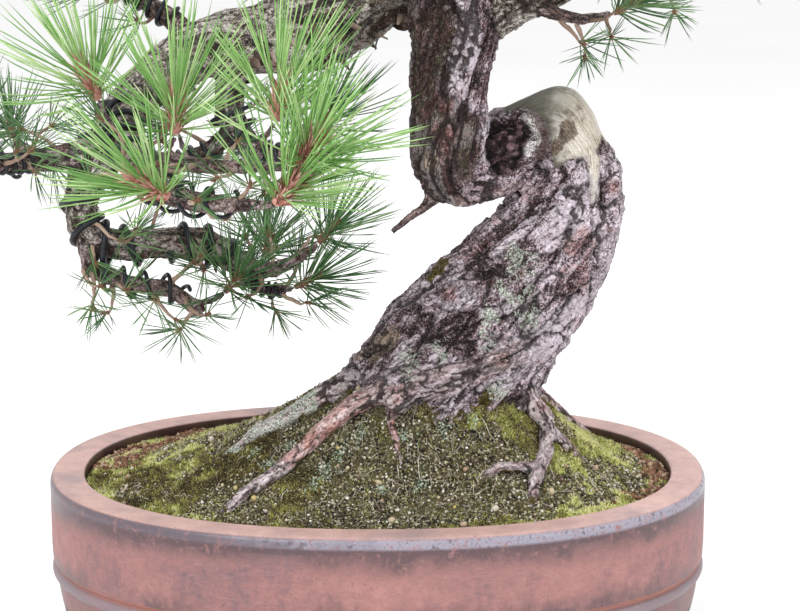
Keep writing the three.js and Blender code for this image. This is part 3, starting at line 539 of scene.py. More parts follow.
def pot_material():
    g = Graph("unglazed_stoneware", 0.5, 0.4)
    place = g.place()
    x, _, z = g.axes(place)
    z = z * (1 / MM)

    def band(middle, near, far):
        """1 at heights near the middle, 0 at those that are far from it."""
        return 1.0 - g.between(abs(z - middle), near, far)

    cloud = g.noise(place, 11.0, 5, 0.62, 0.5)
    mottle = g.noise(g.stretched(place, (1, 1, 0.7)), 55.0, 6, 0.72)
    blotch = g.noise(place, 230.0, 5, 0.75)
    weave = g.noise(g.stretched(place, (1, 1, 6)), 150.0, 4, 0.7)
    grain = g.noise(place, 1300.0, 3, 0.7)
    tone = cloud * 0.42 + mottle * 0.3 + blotch * 0.28
    clay = g.ramp(tone, [(0.4, (0.165, 0.105, 0.120)), (0.5, (0.30, 0.145, 0.140)),
                         (0.62, (0.42, 0.20, 0.185))])
    clay = g.mix(g.between(weave, 0.5, 0.7) * 0.3, clay, (0.42, 0.26, 0.24))
    # Smoke from the kiln darkens the edge under the rim and clouds the wall above the bead.
    ragged = z + (mottle - 0.5) * 30.0 + (cloud - 0.5) * 30.0
    # The smoke mask also takes in the rounded edge, and so carries the edge's painted highlight.
    smoke_and_edge = g.between(ragged, 99.0, 114.0)
    smoke_and_edge = g.most(smoke_and_edge, band(112.2, 0.8, 4.0) * 0.95)
    above_bead = g.between(ragged, 88.0, 74.0) * g.between(cloud, 0.44, 0.58)
    smoke_and_edge = g.most(smoke_and_edge, above_bead * 0.85)
    rim_top = g.between(z, 118.6, 119.7)
    smoke_and_edge = smoke_and_edge * (1.0 - rim_top) * g.between(blotch, 0.3, 0.5)
    # The edge itself is silver-blue, with a painted highlight that is bright at the right and fades towards
    # the left.
    across = x + (mottle - 0.5) * 0.16
    bright_end = float(world((20, 0, 0))[0])
    dark_end = float(world((-110, 0, 0))[0])
    edge_with_painted_highlight = g.mix(g.between(across, dark_end, bright_end), (0.085, 0.085, 0.11), (0.30, 0.31, 0.385))
    edge_with_painted_highlight = g.mix(g.between(blotch, 0.52, 0.64), edge_with_painted_highlight, (0.10, 0.09, 0.115))
    # Above the dark line the smoke colour turns into the edge's colour with its painted highlight.
    smoke_and_edge_highlight = g.mix(g.between(z, 112.8, 115.0), (0.062, 0.045, 0.055), edge_with_painted_highlight)
    body = g.mix(smoke_and_edge * 0.85, clay, smoke_and_edge_highlight)
    # The rim's top is paler than the wall: partly its own colour and partly a painted sheen.
    rim = g.ramp(mottle, [(0.35, (0.42, 0.27, 0.25)), (0.65, (0.58, 0.375, 0.34))])
    rim = g.mix(g.between(cloud, 0.5, 0.64) * 0.8, rim, (0.32, 0.235, 0.24))
    body = g.mix(rim_top, body, rim)
    # Painted shade: the inner wall above the earth is made far darker than the clay outside.
    inner = g.between(g.attribute("inner"), 0.35, 0.65)
    inner_wall_shade = g.ramp(mottle, [(0.35, (0.055, 0.03, 0.03)), (0.65, (0.12, 0.062, 0.055))])
    body = g.mix(inner, body, inner_wall_shade)
    # The bead is greyer, and the groove over it redder.
    body = g.mix(band(65.5, 2.5, 4.5) * 0.65, body, (0.235, 0.20, 0.225))
    body = g.mix(band(70.4, 0.9, 2.4) * 0.75, body, (0.50, 0.215, 0.165))
    low_smoke = g.between(z + cloud * 30.0, 66.0, 40.0)
    body = g.mix(low_smoke * 0.4, body, (0.15, 0.11, 0.115))
    specks = g.between(g.noise(place, 800.0, 3, 0.6), 0.6, 0.68)
    specks = specks * g.between(mottle, 0.42, 0.56)
    body = g.mix(specks * 0.55, body, (0.085, 0.05, 0.055))
    roughness = 0.58 - smoke_and_edge * 0.28
    normal = g.bump(grain, 0.45, 0.25)
    normal = g.bump(weave, 0.18, 0.4, normal)
    normal = g.bump(blotch, 0.25, 0.5, normal)
    return g.finish(body, roughness, normal)


# Soil

def rim_reach(directions):
    """Distance from the mound's middle to the pot's inner wall, along each direction."""
    a = POT_HALF_WIDTH - RIM_WIDTH
    b = POT_HALF_DEPTH - RIM_WIDTH
    near = np.zeros(len(directions))
    far = np.full(len(directions), 2 * POT_HALF_WIDTH)
    for _ in range(32):
        middle = (near + far) / 2
        x = np.abs(SOIL_CROWN[0] + directions[:, 0] * middle) / a
        y = np.abs(SOIL_CROWN[1] + directions[:, 1] * middle) / b
        inside = x**OVAL_POWER + y**OVAL_POWER < 1
        near = np.where(inside, middle, near)
        far = np.where(inside, far, middle)
    return near


def soil_height(xy):
    """Height of the smooth mound, and the share of the way from its crown to the rim."""
    delta = xy - SOIL_CROWN
    distance = np.linalg.norm(delta, axis=1)
    directions = delta / np.maximum(distance, 1e-6)[:, None]
    crown = 1 / np.hypot(directions[:, 0] / SOIL_CROWN_HALF_WIDTH, directions[:, 1] / SOIL_CROWN_HALF_DEPTH)
    rim = rim_reach(directions)
    t = np.clip((distance - crown) / (rim - crown), 0, 1)
    return SOIL_EDGE_HEIGHT + (SOIL_TOP_HEIGHT - SOIL_EDGE_HEIGHT) * (1 - t) ** SOIL_SLOPE_POWER, t


def flat(xy):
    return np.column_stack([xy, np.zeros(len(xy))])


def earth_noise(xy, scale, octaves, seed):
    return fractal(flat(xy) * scale, octaves, seed)


def near_rim(xy):
    """Millimetres from the pot's inner wall."""
    delta = xy - SOIL_CROWN
    distance = np.linalg.norm(delta, axis=1)
    return rim_reach(delta / np.maximum(distance, 1e-6)[:, None]) - distance


def grain_amount(xy):
    """Bare red grains lie by the rim at the back left and at the right end."""
    gap = near_rim(xy)
    angle = np.degrees(np.arctan2(xy[:, 1] / 0.75, xy[:, 0]))
    back_left = smoothstep(96, 116, angle) * smoothstep(188, 166, angle) * smoothstep(34, 22, gap)
    right_end = smoothstep(44, 24, np.abs(angle - 4)) * smoothstep(20, 8, gap)
    ragged = smoothstep(-0.25, 0.05, earth_noise(xy, 0.08, 3, 29))
    return np.clip(back_left + right_end * 0.9, 0, 1) * ragged


def moss_amount(xy):
    """Moss is thick by the rim and at the ends, and thin on the steep middle in front."""
    patch = earth_noise(xy, 0.024, 4, 21)
    fine = earth_noise(xy, 0.11, 3, 33)
    ends = smoothstep(52, 122, np.abs(xy[:, 0] - 10))
    front_rim = smoothstep(16, 5, near_rim(xy)) * smoothstep(30, 0, xy[:, 1])
    cover = patch * 1.3 + 0.62 * ends + 0.6 * front_rim + fine * 0.7 - 0.26
    return smoothstep(-0.12, 0.2, cover) * (1 - grain_amount(xy))


def moss_brightness(xy):
    """The moss is a fresh yellow-green at the back left and the right, and olive to brown elsewhere."""
    x, y = xy.T
    back_left = smoothstep(-48, -92, x) * smoothstep(-22, 6, y)
    far_left = smoothstep(-132, -152, x) * 0.8
    right = smoothstep(88, 112, x) * 0.8
    front_rim = smoothstep(13, 4, near_rim(xy)) * smoothstep(30, 0, y) * 0.62
    patch = earth_noise(xy, 0.035, 3, 39)
    fine = earth_noise(xy, 0.13, 3, 43)
    tufts = earth_noise(xy, 0.42, 2, 45)
    base = np.maximum.reduce([back_left, far_left, right, front_rim, np.full(len(xy), 0.3)])
    _, t = soil_height(xy)
    foot = 0.5 + 0.5 * smoothstep(0.02, 0.3, t)
    return np.clip((base + patch * 0.7 + fine * 0.6) * foot + tufts * 0.5, 0, 1)


def ground(xy):
    """Height of the soil with its lumps, cushions of moss and crumbs."""
    height, _ = soil_height(xy)
    at = flat(xy)
    moss = moss_amount(xy)
    lumps = fractal(at * 0.045, 3, 5) * 3.4
    first, _, number = cells(at * 0.15, 41)
    cushion = (0.6 - first) * 3.4 * moss
    crumbs = (fractal(at * 0.4, 2, 8) * 1.7 + (number - 0.5) * 1.2) * (1 - 0.5 * moss)
    fade = smoothstep(0.5, 7, near_rim(xy))
    return height + (lumps + cushion + crumbs) * fade - 0.6 * (1 - fade)


def on_ground(xy, lift=0.0):
    return np.column_stack([xy, ground(xy) + lift])


SOIL_SPOKES = 400
SOIL_RINGS = 112


def build_soil():
    angles = np.linspace(0, 2 * math.pi, SOIL_SPOKES, endpoint=False)
    edge = oval_ring(RIM_WIDTH + SOIL_GAP, SOIL_EDGE_HEIGHT, angles)[:, :2]
    rings = []
    for inset, height in ((29.6, 20.6), (20.5, 32), (12, 70), (11.6, 106.6), (RIM_WIDTH + SOIL_GAP, 112.8)):
        rings.append(oval_ring(inset, height, angles))
    for share in np.linspace(1.0, 0.03, SOIL_RINGS):
        rings.append(on_ground(SOIL_CROWN + (edge - SOIL_CROWN) * share))
    vertices, faces = skin(rings)
    soil = solid("soil_surface", vertices, faces)
    xy = vertices[:, :2]
    set_attribute(soil.data, "moss", moss_amount(xy))
    set_attribute(soil.data, "bright", moss_brightness(xy))
    set_attribute(soil.data, "grains", grain_amount(xy))
    return soil


MOSS_STOPS = [(0.04, (0.018, 0.013, 0.007)), (0.2, (0.115, 0.088, 0.034)), (0.36, (0.20, 0.175, 0.055)),
              (0.54, (0.27, 0.29, 0.062)), (0.72, (0.46, 0.49, 0.13)), (0.95, (0.80, 0.78, 0.38))]


def soil_material():
    g = Graph("earth_and_moss", 0.95, 0.2)
    place = g.place()
    moss = g.attribute("moss")
    fine = g.noise(place, 620.0, 5, 0.75)
    crumb = g.voronoi(place, 520.0)
    tint = g.noise(place, 85.0, 5, 0.7)
    grit = g.noise(place, 1200.0, 2, 0.6)
    # The earth is pale on each crumb and nearly black between crumbs: dark earth, with painted shade in the
    # gaps.
    earth = g.ramp(crumb, [(0.08, (0.34, 0.28, 0.20)), (0.3, (0.13, 0.105, 0.072)),
                           (0.62, (0.010, 0.008, 0.006))])
    earth = g.mix(g.between(tint, 0.42, 0.6) * 0.6, earth, (0.15, 0.14, 0.055))
    earth = g.mix(g.between(grit, 0.44, 0.34), earth, (0.012, 0.009, 0.007))
    earth = g.mix(g.between(fine, 0.56, 0.61), earth, (0.60, 0.57, 0.45))
    level = g.attribute("bright") * 0.7 + fine * 0.42
    green = g.ramp(level - 0.1, MOSS_STOPS)
    cover = moss + (fine - 0.5) * 1.2
    # Dark specks on the moss: brown bits, and painted shade in the gaps between its leaves.
    green = g.mix(g.between(grit, 0.46, 0.36), green, (0.020, 0.018, 0.008))
    green = g.mix(g.between(grit, 0.57, 0.66), green, (0.60, 0.60, 0.30))
    colour = g.mix(g.between(cover, 0.25, 0.6), earth, green)
    red = g.ramp(crumb, [(0.2, (0.20, 0.095, 0.055)), (0.7, (0.035, 0.016, 0.011))])
    colour = g.mix(g.attribute("grains"), colour, red)
    height = fine + crumb * 0.8
    return g.finish(colour, None, g.bump(height, 1.0, 1.4))


def surface_points(count, chance, seed):
    """Random places on the earth, kept by a chance that depends on where they are."""
    draw = np.random.default_rng(seed)
    kept = []
    total = 0
    a = POT_HALF_WIDTH - RIM_WIDTH - 1.5
    b = POT_HALF_DEPTH - RIM_WIDTH - 1.5
    while total < count:
        xy = draw.uniform((-a, -b), (a, b), (count * 2, 2))
        inside = np.abs(xy[:, 0] / a) ** OVAL_POWER + np.abs(xy[:, 1] / b) ** OVAL_POWER < 1
        xy = xy[inside]
        xy = xy[draw.random(len(xy)) < chance(xy)]
        kept.append(xy)
        total += len(xy)
    return np.concatenate(kept)[:count], draw


def open_earth(tree, xy):
    """Which places aren't covered by a root or the trunk."""
    starts = world(on_ground(xy, 0.3))
    up = Vector((0, 0, 1))
    covered = [tree.ray_cast(Vector(start), up, 0.007)[0] is not None for start in starts]
    return ~np.array(covered)


def ground_normals(xy):
    step = 0.8
    dx = (ground(xy + (step, 0)) - ground(xy - (step, 0))) / (2 * step)
    dy = (ground(xy + (0, step)) - ground(xy - (0, step))) / (2 * step)
    return unit(np.column_stack([-dx, -dy, np.ones(len(xy))]))


def rock_template(seed):
    """A small angular stone of unit size."""
    draw = np.random.default_rng(seed)
    t = (1 + 5**0.5) / 2
    v = np.array([(-1, t, 0), (1, t, 0), (-1, -t, 0), (1, -t, 0), (0, -1, t), (0, 1, t), (0, -1, -t),
                  (0, 1, -t), (t, 0, -1), (t, 0, 1), (-t, 0, -1), (-t, 0, 1)], dtype=float)
    v /= np.linalg.norm(v[0])
    f = np.array([(0, 11, 5), (0, 5, 1), (0, 1, 7), (0, 7, 10), (0, 10, 11), (1, 5, 9), (5, 11, 4),
                  (11, 10, 2), (10, 7, 6), (7, 1, 8), (3, 9, 4), (3, 4, 2), (3, 2, 6), (3, 6, 8),
                  (3, 8, 9), (4, 9, 5), (2, 4, 11), (6, 2, 10), (8, 6, 7), (9, 8, 1)])
    v *= draw.uniform(0.72, 1.2, (12, 1))
    return v, f


def random_turns(draw, count):
    """Rotation matrices, evenly spread."""
    w, x, y, z = unit(draw.normal(size=(count, 4))).T
    return np.stack([
        np.stack([1 - 2 * (y * y + z * z), 2 * (x * y - w * z), 2 * (x * z + w * y)], axis=1),
        np.stack([2 * (x * y + w * z), 1 - 2 * (x * x + z * z), 2 * (y * z - w * x)], axis=1),
        np.stack([2 * (x * z - w * y), 2 * (y * z + w * x), 1 - 2 * (x * x + y * y)], axis=1),
    ], axis=1)


def build_stones(name, xy, lift, sizes, draw, seed, material):
    """Stones of the given sizes on the earth, each with its own turn, shape and tone."""
    centres = on_ground(xy, lift)
    tones = draw.random(len(xy))
    template, faces = rock_template(seed)
    turns = random_turns(draw, len(xy))
    shape = draw.uniform(0.65, 1.15, (len(xy), 1, 3))
    points = np.einsum("nij,nkj->nki", turns, template[None] * shape) * sizes[:, None, None]
    points += centres[:, None, :]
    index = repeated(faces, len(xy), len(template))
    stones = triangles_object(name, world(points.reshape(-1, 3)), index, False)
    set_attribute(stones.data, "tone", np.repeat(tones, len(template)))
    stones.data.materials.append(material)
    return stones


def toned_material(name, stops, roughness=0.85, grime=0.35):
    g = Graph(name, roughness, 0.25)
    dirt = g.noise(g.place(), 1100.0, 3, 0.65)
    colour = g.ramp(g.attribute("tone"), stops)
    colour = g.mix(g.between(dirt, 0.48, 0.7) * grime, colour, (0.06, 0.045, 0.03))
    return g.finish(colour, None, g.bump(dirt, 0.5, 0.4))


def blade_mesh(name, roots, tips, widths, tones, draw):
    """Thin three-sided points from roots to tips, all in one mesh."""
    along = unit(tips - roots)
    side = unit(np.cross(along, draw.normal(size=roots.shape)))
    corners = [roots + way * widths[:, None] for way in circle(side, np.cross(along, side), 3)]
    vertices = np.stack([*corners, tips], axis=1)
    index = repeated([(0, 1, 3), (1, 2, 3), (2, 0, 3)], len(roots), 4)
    blades = triangles_object(name, world(vertices.reshape(-1, 3)), index)
    # Each leaf is darker at its foot and paler at its tip: painted shade down in the cushion, and the tip's
    # own paler colour.
    light = tones[:, None] + np.array((-0.22, -0.22, -0.22, 0.14))
    set_attribute(blades.data, "tone", np.clip(light, 0, 1).ravel())
    return blades


def tubes(paths, radii, sides=3):
    """Vertices and triangles of closed-off tubes along paths of equal length: paths is [n, m, 3]."""
    count, length, _ = paths.shape
    way = unit(np.gradient(paths, axis=1))
    reference = np.where(np.abs(way[:, :1, 2:3]) < 0.9, (0.0, 0.0, 1.0), (1.0, 0.0, 0.0))
    side = unit(np.cross(way, np.broadcast_to(reference, way.shape)))
    rings = [paths + out * radii[..., None] for out in circle(side, np.cross(way, side), sides)]
    vertices = np.stack(rings, axis=2).reshape(-1, 3)
    faces = ring_triangles(length, sides)
    last = (length - 1) * sides
    for k in range(1, sides - 1):
        faces += [(0, k + 1, k), (last, last + k, last + k + 1)]
    return vertices, repeated(faces, count, length * sides)


def fibres(xy, draw, low, high, lift):
    """Crooked paths that lie on the earth."""
    steps = 5
    heading = draw.uniform(0, 2 * math.pi, len(xy))
    length = draw.uniform(low, high, len(xy))
    at = xy.copy()
    path = []
    rise = draw.uniform(0.3, lift, len(xy))
    for step in range(steps):
        path.append(on_ground(at, rise * (0.5 + 0.5 * math.sin(step * 1.3))))
        heading = heading + draw.normal(size=len(xy)) * 0.45
        at = at + np.column_stack([np.cos(heading), np.sin(heading)]) * (length / (steps - 1))[:, None]
    return np.stack(path, axis=1)


# How many of each kind of ground cover are tried for, before those under the roots are left out
MOSS_LEAVES = 57500
RED_GRAINS = 1500
EARTH_CRUMBS = 8600
PEBBLES = 150
FALLEN_NEEDLES = 1900
LICHEN_HEAPS = [(-21, -64, 9), (-28, -71, 9), (-36, -77, 8), (-10, -59, 7), (-60, -58, 7), (-50, -48, 6),
                (14, -64, 7), (36, -58, 8), (54, -54, 7), (-70, -46, 6), (2, -86, 5), (24, -84, 6)]


def bareness(xy):
    """How far the earth is free of moss and of red grains."""
    return (1 - moss_amount(xy) * 0.85) * (1 - grain_amount(xy))


def open_places(tree, count, chance, seed):
    xy, draw = surface_points(count, chance, seed)
    return xy[open_earth(tree, xy)], draw


def build_moss(tree):
    """Short leaves in cushions."""
    xy, draw = open_places(tree, MOSS_LEAVES, lambda p: 0.42 + 0.58 * moss_amount(p), 51)
    roots = on_ground(xy, -0.5)
    lean = unit(ground_normals(xy) * 0.8 + (0, 0, 0.45) + draw.normal(size=roots.shape) * 0.5)
    thick = moss_amount(xy)
    tips = roots + lean * (draw.uniform(1.3, 3.1, len(roots)) * (0.65 + 0.35 * thick))[:, None]
    stray = draw.normal(size=len(xy)) * (0.2 + 0.1 * (1 - thick))
    tones = np.clip(moss_brightness(xy) * (0.55 + 0.45 * thick) + 0.12 * (1 - thick) + stray, 0, 1)
    moss = blade_mesh("moss", roots, tips, draw.uniform(0.3, 0.58, len(roots)), tones, draw)
    g = Graph("moss_leaves", 0.8, 0.2)
    moss.data.materials.append(g.finish(g.ramp(g.attribute("tone"), MOSS_STOPS)))
    return moss


def build_grains(_):
    """Bare grains of red clay by the rim."""
    xy, draw = surface_points(RED_GRAINS, grain_amount, 61)
    sizes = draw.uniform(1.0, 2.1, len(xy))
    clay = toned_material("red_clay", [(0.0, (0.08, 0.034, 0.020)), (0.5, (0.20, 0.095, 0.055)),
                                       (0.8, (0.33, 0.19, 0.12)), (1.0, (0.52, 0.40, 0.28))])
    return build_stones("red_grains", xy, sizes * 0.25, sizes, draw, 3, clay)


def build_crumbs(tree):
    """Crumbs of earth, from nearly black to pale."""
    xy, draw = open_places(tree, EARTH_CRUMBS, lambda p: 0.14 + 0.86 * bareness(p), 71)
    sizes = draw.uniform(0.4, 0.8, len(xy)) * draw.uniform(0.8, 1.5, len(xy))
    earth = toned_material("earth_crumb", [(0.0, (0.018, 0.013, 0.010)), (0.26, (0.10, 0.075, 0.048)),
                                           (0.42, (0.24, 0.21, 0.10)), (0.62, (0.40, 0.36, 0.24)),
                                           (0.8, (0.58, 0.53, 0.42)), (1.0, (0.86, 0.83, 0.76))], 0.85, 0.7)
    return build_stones("earth_crumbs", xy, sizes * 0.3, sizes, draw, 4, earth)


def build_pebbles(tree):
    """Pebbles, cream, yellow and pink, none of them at the back."""
    xy, draw = open_places(tree, PEBBLES, lambda p: (0.1 + 0.9 * bareness(p)) * (p[:, 1] < 40), 81)
    sizes = draw.uniform(0.8, 1.5, len(xy)) * np.where(draw.random(len(xy)) < 0.25, 1.7, 1)
    stone = toned_material("pebble", [(0.0, (0.42, 0.27, 0.20)), (0.3, (0.55, 0.46, 0.32)),
                                      (0.55, (0.60, 0.47, 0.14)), (0.7, (0.62, 0.56, 0.44)),
                                      (1.0, (0.70, 0.62, 0.56))], 0.7, 0.2)
    return build_stones("pebbles", xy, sizes * 0.35, sizes, draw, 5, stone)


def build_lichen(tree):
    """Pale green lichen in little heaps."""
    draw = np.random.default_rng(87)
    heaps = []
    for x, y, reach in LICHEN_HEAPS:
        count = int(reach * 9)
        turn = draw.uniform(0, 2 * math.pi, count)
        away = np.abs(draw.normal(size=count)) * reach * 0.5
        heaps.append(np.column_stack([x + np.cos(turn) * away, y + np.sin(turn) * away]))
    xy = np.concatenate(heaps)
    xy = xy[open_earth(tree, xy)]
    sizes = draw.uniform(0.28, 0.75, len(xy))
    crust = toned_material("lichen_crust", [(0.0, (0.12, 0.16, 0.10)), (0.5, (0.32, 0.40, 0.30)),
                                            (1.0, (0.62, 0.68, 0.58))], 0.9, 0.4)
    return build_stones("lichen", xy, draw.uniform(0.2, 1.4, len(xy)), sizes, draw, 6, crust)


def build_litter(tree):
    """Dead needles, rootlets and stalks of dry moss that lie about."""
    xy, draw = open_places(tree, FALLEN_NEEDLES, lambda p: 0.16 + 0.84 * bareness(p), 91)
    paths = fibres(xy, draw, 3, 11, 2.4)
    thick = np.repeat(draw.uniform(0.11, 0.27, (len(xy), 1)), paths.shape[1], axis=1)
    vertices, triangles = tubes(paths, thick)
    litter = triangles_object("fallen_needles", world(vertices), triangles)
    per_fibre = paths.shape[1] * 3
    set_attribute(litter.data, "tone", np.repeat(draw.random(len(xy)), per_fibre))
    litter.data.materials.append(
        toned_material("dry_needle", [(0.0, (0.05, 0.03, 0.02)), (0.35, (0.20, 0.13, 0.09)),
                                      (0.7, (0.50, 0.44, 0.34)), (1.0, (0.76, 0.71, 0.62))])
    )
    return litter


GROUND_COVER = (build_moss, build_grains, build_crumbs, build_pebbles, build_lichen, build_litter)


# Tree

TRUNK_ROUTE = [
    (22, 0, 92, 57), (24, 0, 125, 58), (31, 0, 152, 56), (43, 0, 176, 53), (60, 1, 200, 47.5),
    (81, 3, 226, 42), (101, 6, 254, 35.5), (112, 10, 280, 29.5), (112, 13, 299, 25), (97, 15, 314, 24),
    (82, 12, 309, 22.5), (67, 5, 300, 21.5), (51, -4, 294, 21.5), (42, -8, 300, 21), (40, -10, 326, 21.5),
    (41, -10, 352, 22), (45, -8, 376, 26), (43, -4, 399, 24), (50, 4, 422, 20), (44, 8, 448, 17),
    (28, 4, 472, 14), (16, -2, 494, 11), (20, -4, 514, 7.5), (26, -2, 530, 4),
]
LEFT_LIMB_ROUTE = [
    (48, -4, 400, 20), (30, 2, 408, 22), (10, 7, 403, 22.5), (-12, 13, 387, 24), (-36, 18, 372, 24),
    (-64, 22, 366, 21), (-100, 26, 360, 17), (-132, 18, 339, 14), (-152, 2, 312, 12),
    (-166, -6, 284, 10.5), (-166, -10, 262, 9.5), (-148, -9, 252, 9), (-118, -4, 253, 9.5),
    (-94, -2, 250, 10), (-78, -4, 239, 7), (-62, -8, 237, 5), (-46, -11, 244, 3.6), (-34, -10, 253, 2.2),
]
STUB_ROUTE = [(33, -10, 282, 6), (27, -12, 275, 3.4), (20, -12, 270, 2.7), (8, -12, 260, 1.9)]

# Roots as [x, y, radius, lift of the middle over the earth]
ROOT_PLANS = [
    [(52, -36, 9, 26), (28, -43, 8.5, 14), (6, -46, 8, 7), (-16, -46, 6.4, 5), (-31, -51, 5.4, 4),
     (-44, -60, 5, 3), (-60, -70, 4.8, 2.4), (-76, -79, 4.6, 1.6), (-90, -88, 3.6, -5)],
    [(66, -38, 10, 24), (42, -45, 9.5, 13), (20, -50, 8.5, 8), (6, -53, 7.5, 5)],
    [(60, -16, 13, 12), (76, -27, 8, 7), (99, -36, 5.6, 4), (95, -50, 5, 3.4), (89, -66, 4.4, 2.4),
     (84, -80, 3.6, 1.4), (83, -91, 2.6, -4)],
    [(97, -36, 5, 3), (107, -35, 4.2, 1.5), (117, -33, 3.2, -4)],
    [(89, -63, 4, 2), (79, -68, 4, 3), (68, -71, 3.6, 2.6), (57, -75, 2.8, -3)],
    [(20, -6, 32, 4), (-4, -12, 21, -5), (-26, -22, 10, -1), (-44, -26, 7, 1.5), (-60, -26, 6.4, 2.5),
     (-78, -25, 5, 0), (-90, -27, 3.4, -5)],
    [(30, 20, 16, -2), (22, 46, 11, 1), (8, 66, 8, 2), (-10, 82, 5.5, 1), (-22, 94, 3.5, -5)],
    [(56, 12, 16, -2), (84, 28, 11, 1), (104, 40, 8, 2), (122, 46, 5.5, 1), (136, 50, 3.5, -5)],
    [(6, -49, 3.4, -2), (8, -59, 2.8, 1.5), (11, -67, 2.5, 1), (13, -73, 2, -3)],
]
# The root that runs out to the left, with lichen on its far part
LEFT_ROOT = 5

BRANCH_ROUTES = {
    "front": [(-133, 16, 337, 11), (-141, -25, 326, 9.5), (-134, -70, 312, 8.5), (-118, -106, 303, 7.5),
              (-96, -134, 300, 6), (-73, -152, 301, 4.6), (-52, -164, 303, 2.6)],
    "frontUpper": [(-134, -68, 312, 6.5), (-112, -84, 312, 5.5), (-88, -110, 314, 4.6),
                   (-64, -136, 318, 3.8), (-40, -158, 322, 2.4)],
    "inner": [(-74, 22, 364, 12), (-86, 25, 338, 10), (-82, 23, 312, 9), (-64, 17, 299, 7.5),
              (-47, 10, 301, 5.6), (-35, 8, 313, 2.8)],
    "innerLeft": [(-82, 23, 313, 7), (-102, 28, 298, 6), (-122, 34, 293, 4.8), (-140, 40, 296, 2.6)],
    "upperLeft": [(-102, 26, 359, 9), (-118, 36, 376, 7), (-138, 40, 388, 5), (-158, 38, 394, 2.6)],
    "outerLeft": [(-156, -2, 306, 9), (-184, -8, 302, 8), (-212, -10, 300, 6), (-238, -8, 303, 4.2),
                  (-256, -5, 307, 2.6)],
    "outerLeftFront": [(-186, -8, 302, 6), (-200, -36, 303, 5), (-212, -62, 307, 2.6)],
    "outerLeftBack": [(-190, -8, 302, 6), (-202, 20, 301, 5), (-212, 46, 305, 2.6)],
    "lowerLeft": [(-165, -10, 262, 8), (-166, -15, 244, 6.5), (-150, -18, 233, 5.8),
                  (-126, -17, 231, 5.4), (-108, -16, 225, 5.2), (-100, -15, 214, 4.6)],
    "lowerRight": [(-82, -4, 243, 5.5), (-76, 1, 229, 4.6), (-62, 2, 223, 3.8), (-48, -3, 226, 2.4)],
    "right": [(46, -8, 374, 19), (70, -7, 387, 16), (98, -6, 399, 13), (128, -4, 406, 10),
              (156, 0, 409, 7.5), (182, 4, 413, 5.2), (202, 6, 418, 2.6)],
    "rightFront": [(98, -6, 399, 8), (106, -34, 402, 6), (114, -62, 408, 4.4), (120, -84, 415, 2.6)],
    "rightBack": [(118, -4, 405, 8), (126, 24, 408, 6), (136, 50, 414, 4.4), (144, 72, 420, 2.6)],
    "rightLow": [(84, -8, 390, 6), (98, -18, 384, 4.6), (114, -22, 381, 3.6), (130, -20, 384, 2.4)],
    "back": [(48, 4, 420, 13), (54, 34, 432, 10), (50, 68, 438, 8), (44, 98, 442, 5.4), (38, 122, 447, 2.6)],
    "backRight": [(51, 58, 436, 6), (72, 76, 440, 4.6), (92, 92, 446, 2.6)],
    "backLeft": [(49, 70, 438, 6), (26, 86, 441, 4.6), (4, 98, 447, 2.6)],
    "crownFront": [(47, 6, 436, 10), (51, -26, 446, 8), (47, -56, 452, 6.4), (42, -84, 457, 4.4),
                   (40, -104, 462, 2.6)],
    "crownLeft": [(36, 6, 460, 9), (6, 10, 467, 7.4), (-22, 10, 471, 5.8), (-48, 6, 475, 4.2),
                  (-68, 2, 480, 2.6)],
    "crownRight": [(26, 4, 474, 8), (52, 2, 482, 6.6), (80, -2, 487, 4.6), (102, -4, 493, 2.6)],
    "apexFront": [(17, -2, 498, 5), (8, -22, 507, 3.8), (0, -40, 515, 2.4)],
    "apexBack": [(19, -3, 506, 5), (28, 18, 514, 3.8), (34, 36, 522, 2.4)],
    "apexLeft": [(19, -4, 512, 4.4), (0, 4, 521, 3.4), (-16, 8, 530, 2.4)],
    "humpFront": [(10, 6, 412, 9), (2, -26, 424, 6.6), (-12, -54, 431, 5), (-26, -78, 438, 2.6)],
    "leftBack": [(-34, 18, 378, 10), (-38, 48, 386, 7.4), (-46, 78, 392, 5.2), (-54, 102, 398, 2.6)],
    "linkTwig": [(28, -6, 371, 6), (16, 0, 380, 4.4), (0, 7, 394, 4.6)],
}


def root_route(plan):
    points = np.array(plan, dtype=float)
    height, _ = soil_height(points[:, :2])
    return np.column_stack([points[:, :2], height + points[:, 3], points[:, 2]])


# Every route by name, with what kind of wood it is
ROUTES = {
    "trunk": (TRUNK_ROUTE, "trunk"), "leftLimb": (LEFT_LIMB_ROUTE, "limb"), "stub": (STUB_ROUTE, "stub"),
}
for number, plan in enumerate(ROOT_PLANS):
    ROUTES[f"root{number}"] = (root_route(plan), "root")
for name, route in BRANCH_ROUTES.items():
    ROUTES[name] = (route, "limb")
SAMPLE_SPACING = 3.5


def spline(route):
    """Evenly spaced points and radii along a Catmull-Rom curve through the route."""
    p = np.array(route, dtype=float)
    p = np.vstack([2 * p[0] - p[1], p, 2 * p[-1] - p[-2]])
    out = []
    for i in range(1, len(p) - 2):
        a, b, c, d = p[i - 1], p[i], p[i + 1], p[i + 2]
        steps = max(2, int(np.linalg.norm((c - b)[:3]) / SAMPLE_SPACING))
        for t in np.arange(steps) / steps:
            out.append(0.5 * (2 * b + (c - a) * t + (2 * a - 5 * b + 4 * c - d) * t * t
                              + (3 * b - a - 3 * c + d) * t**3))
    out.append(p[-2])
    out = np.array(out)
    return out[:, :3], np.maximum(out[:, 3], 1.0)


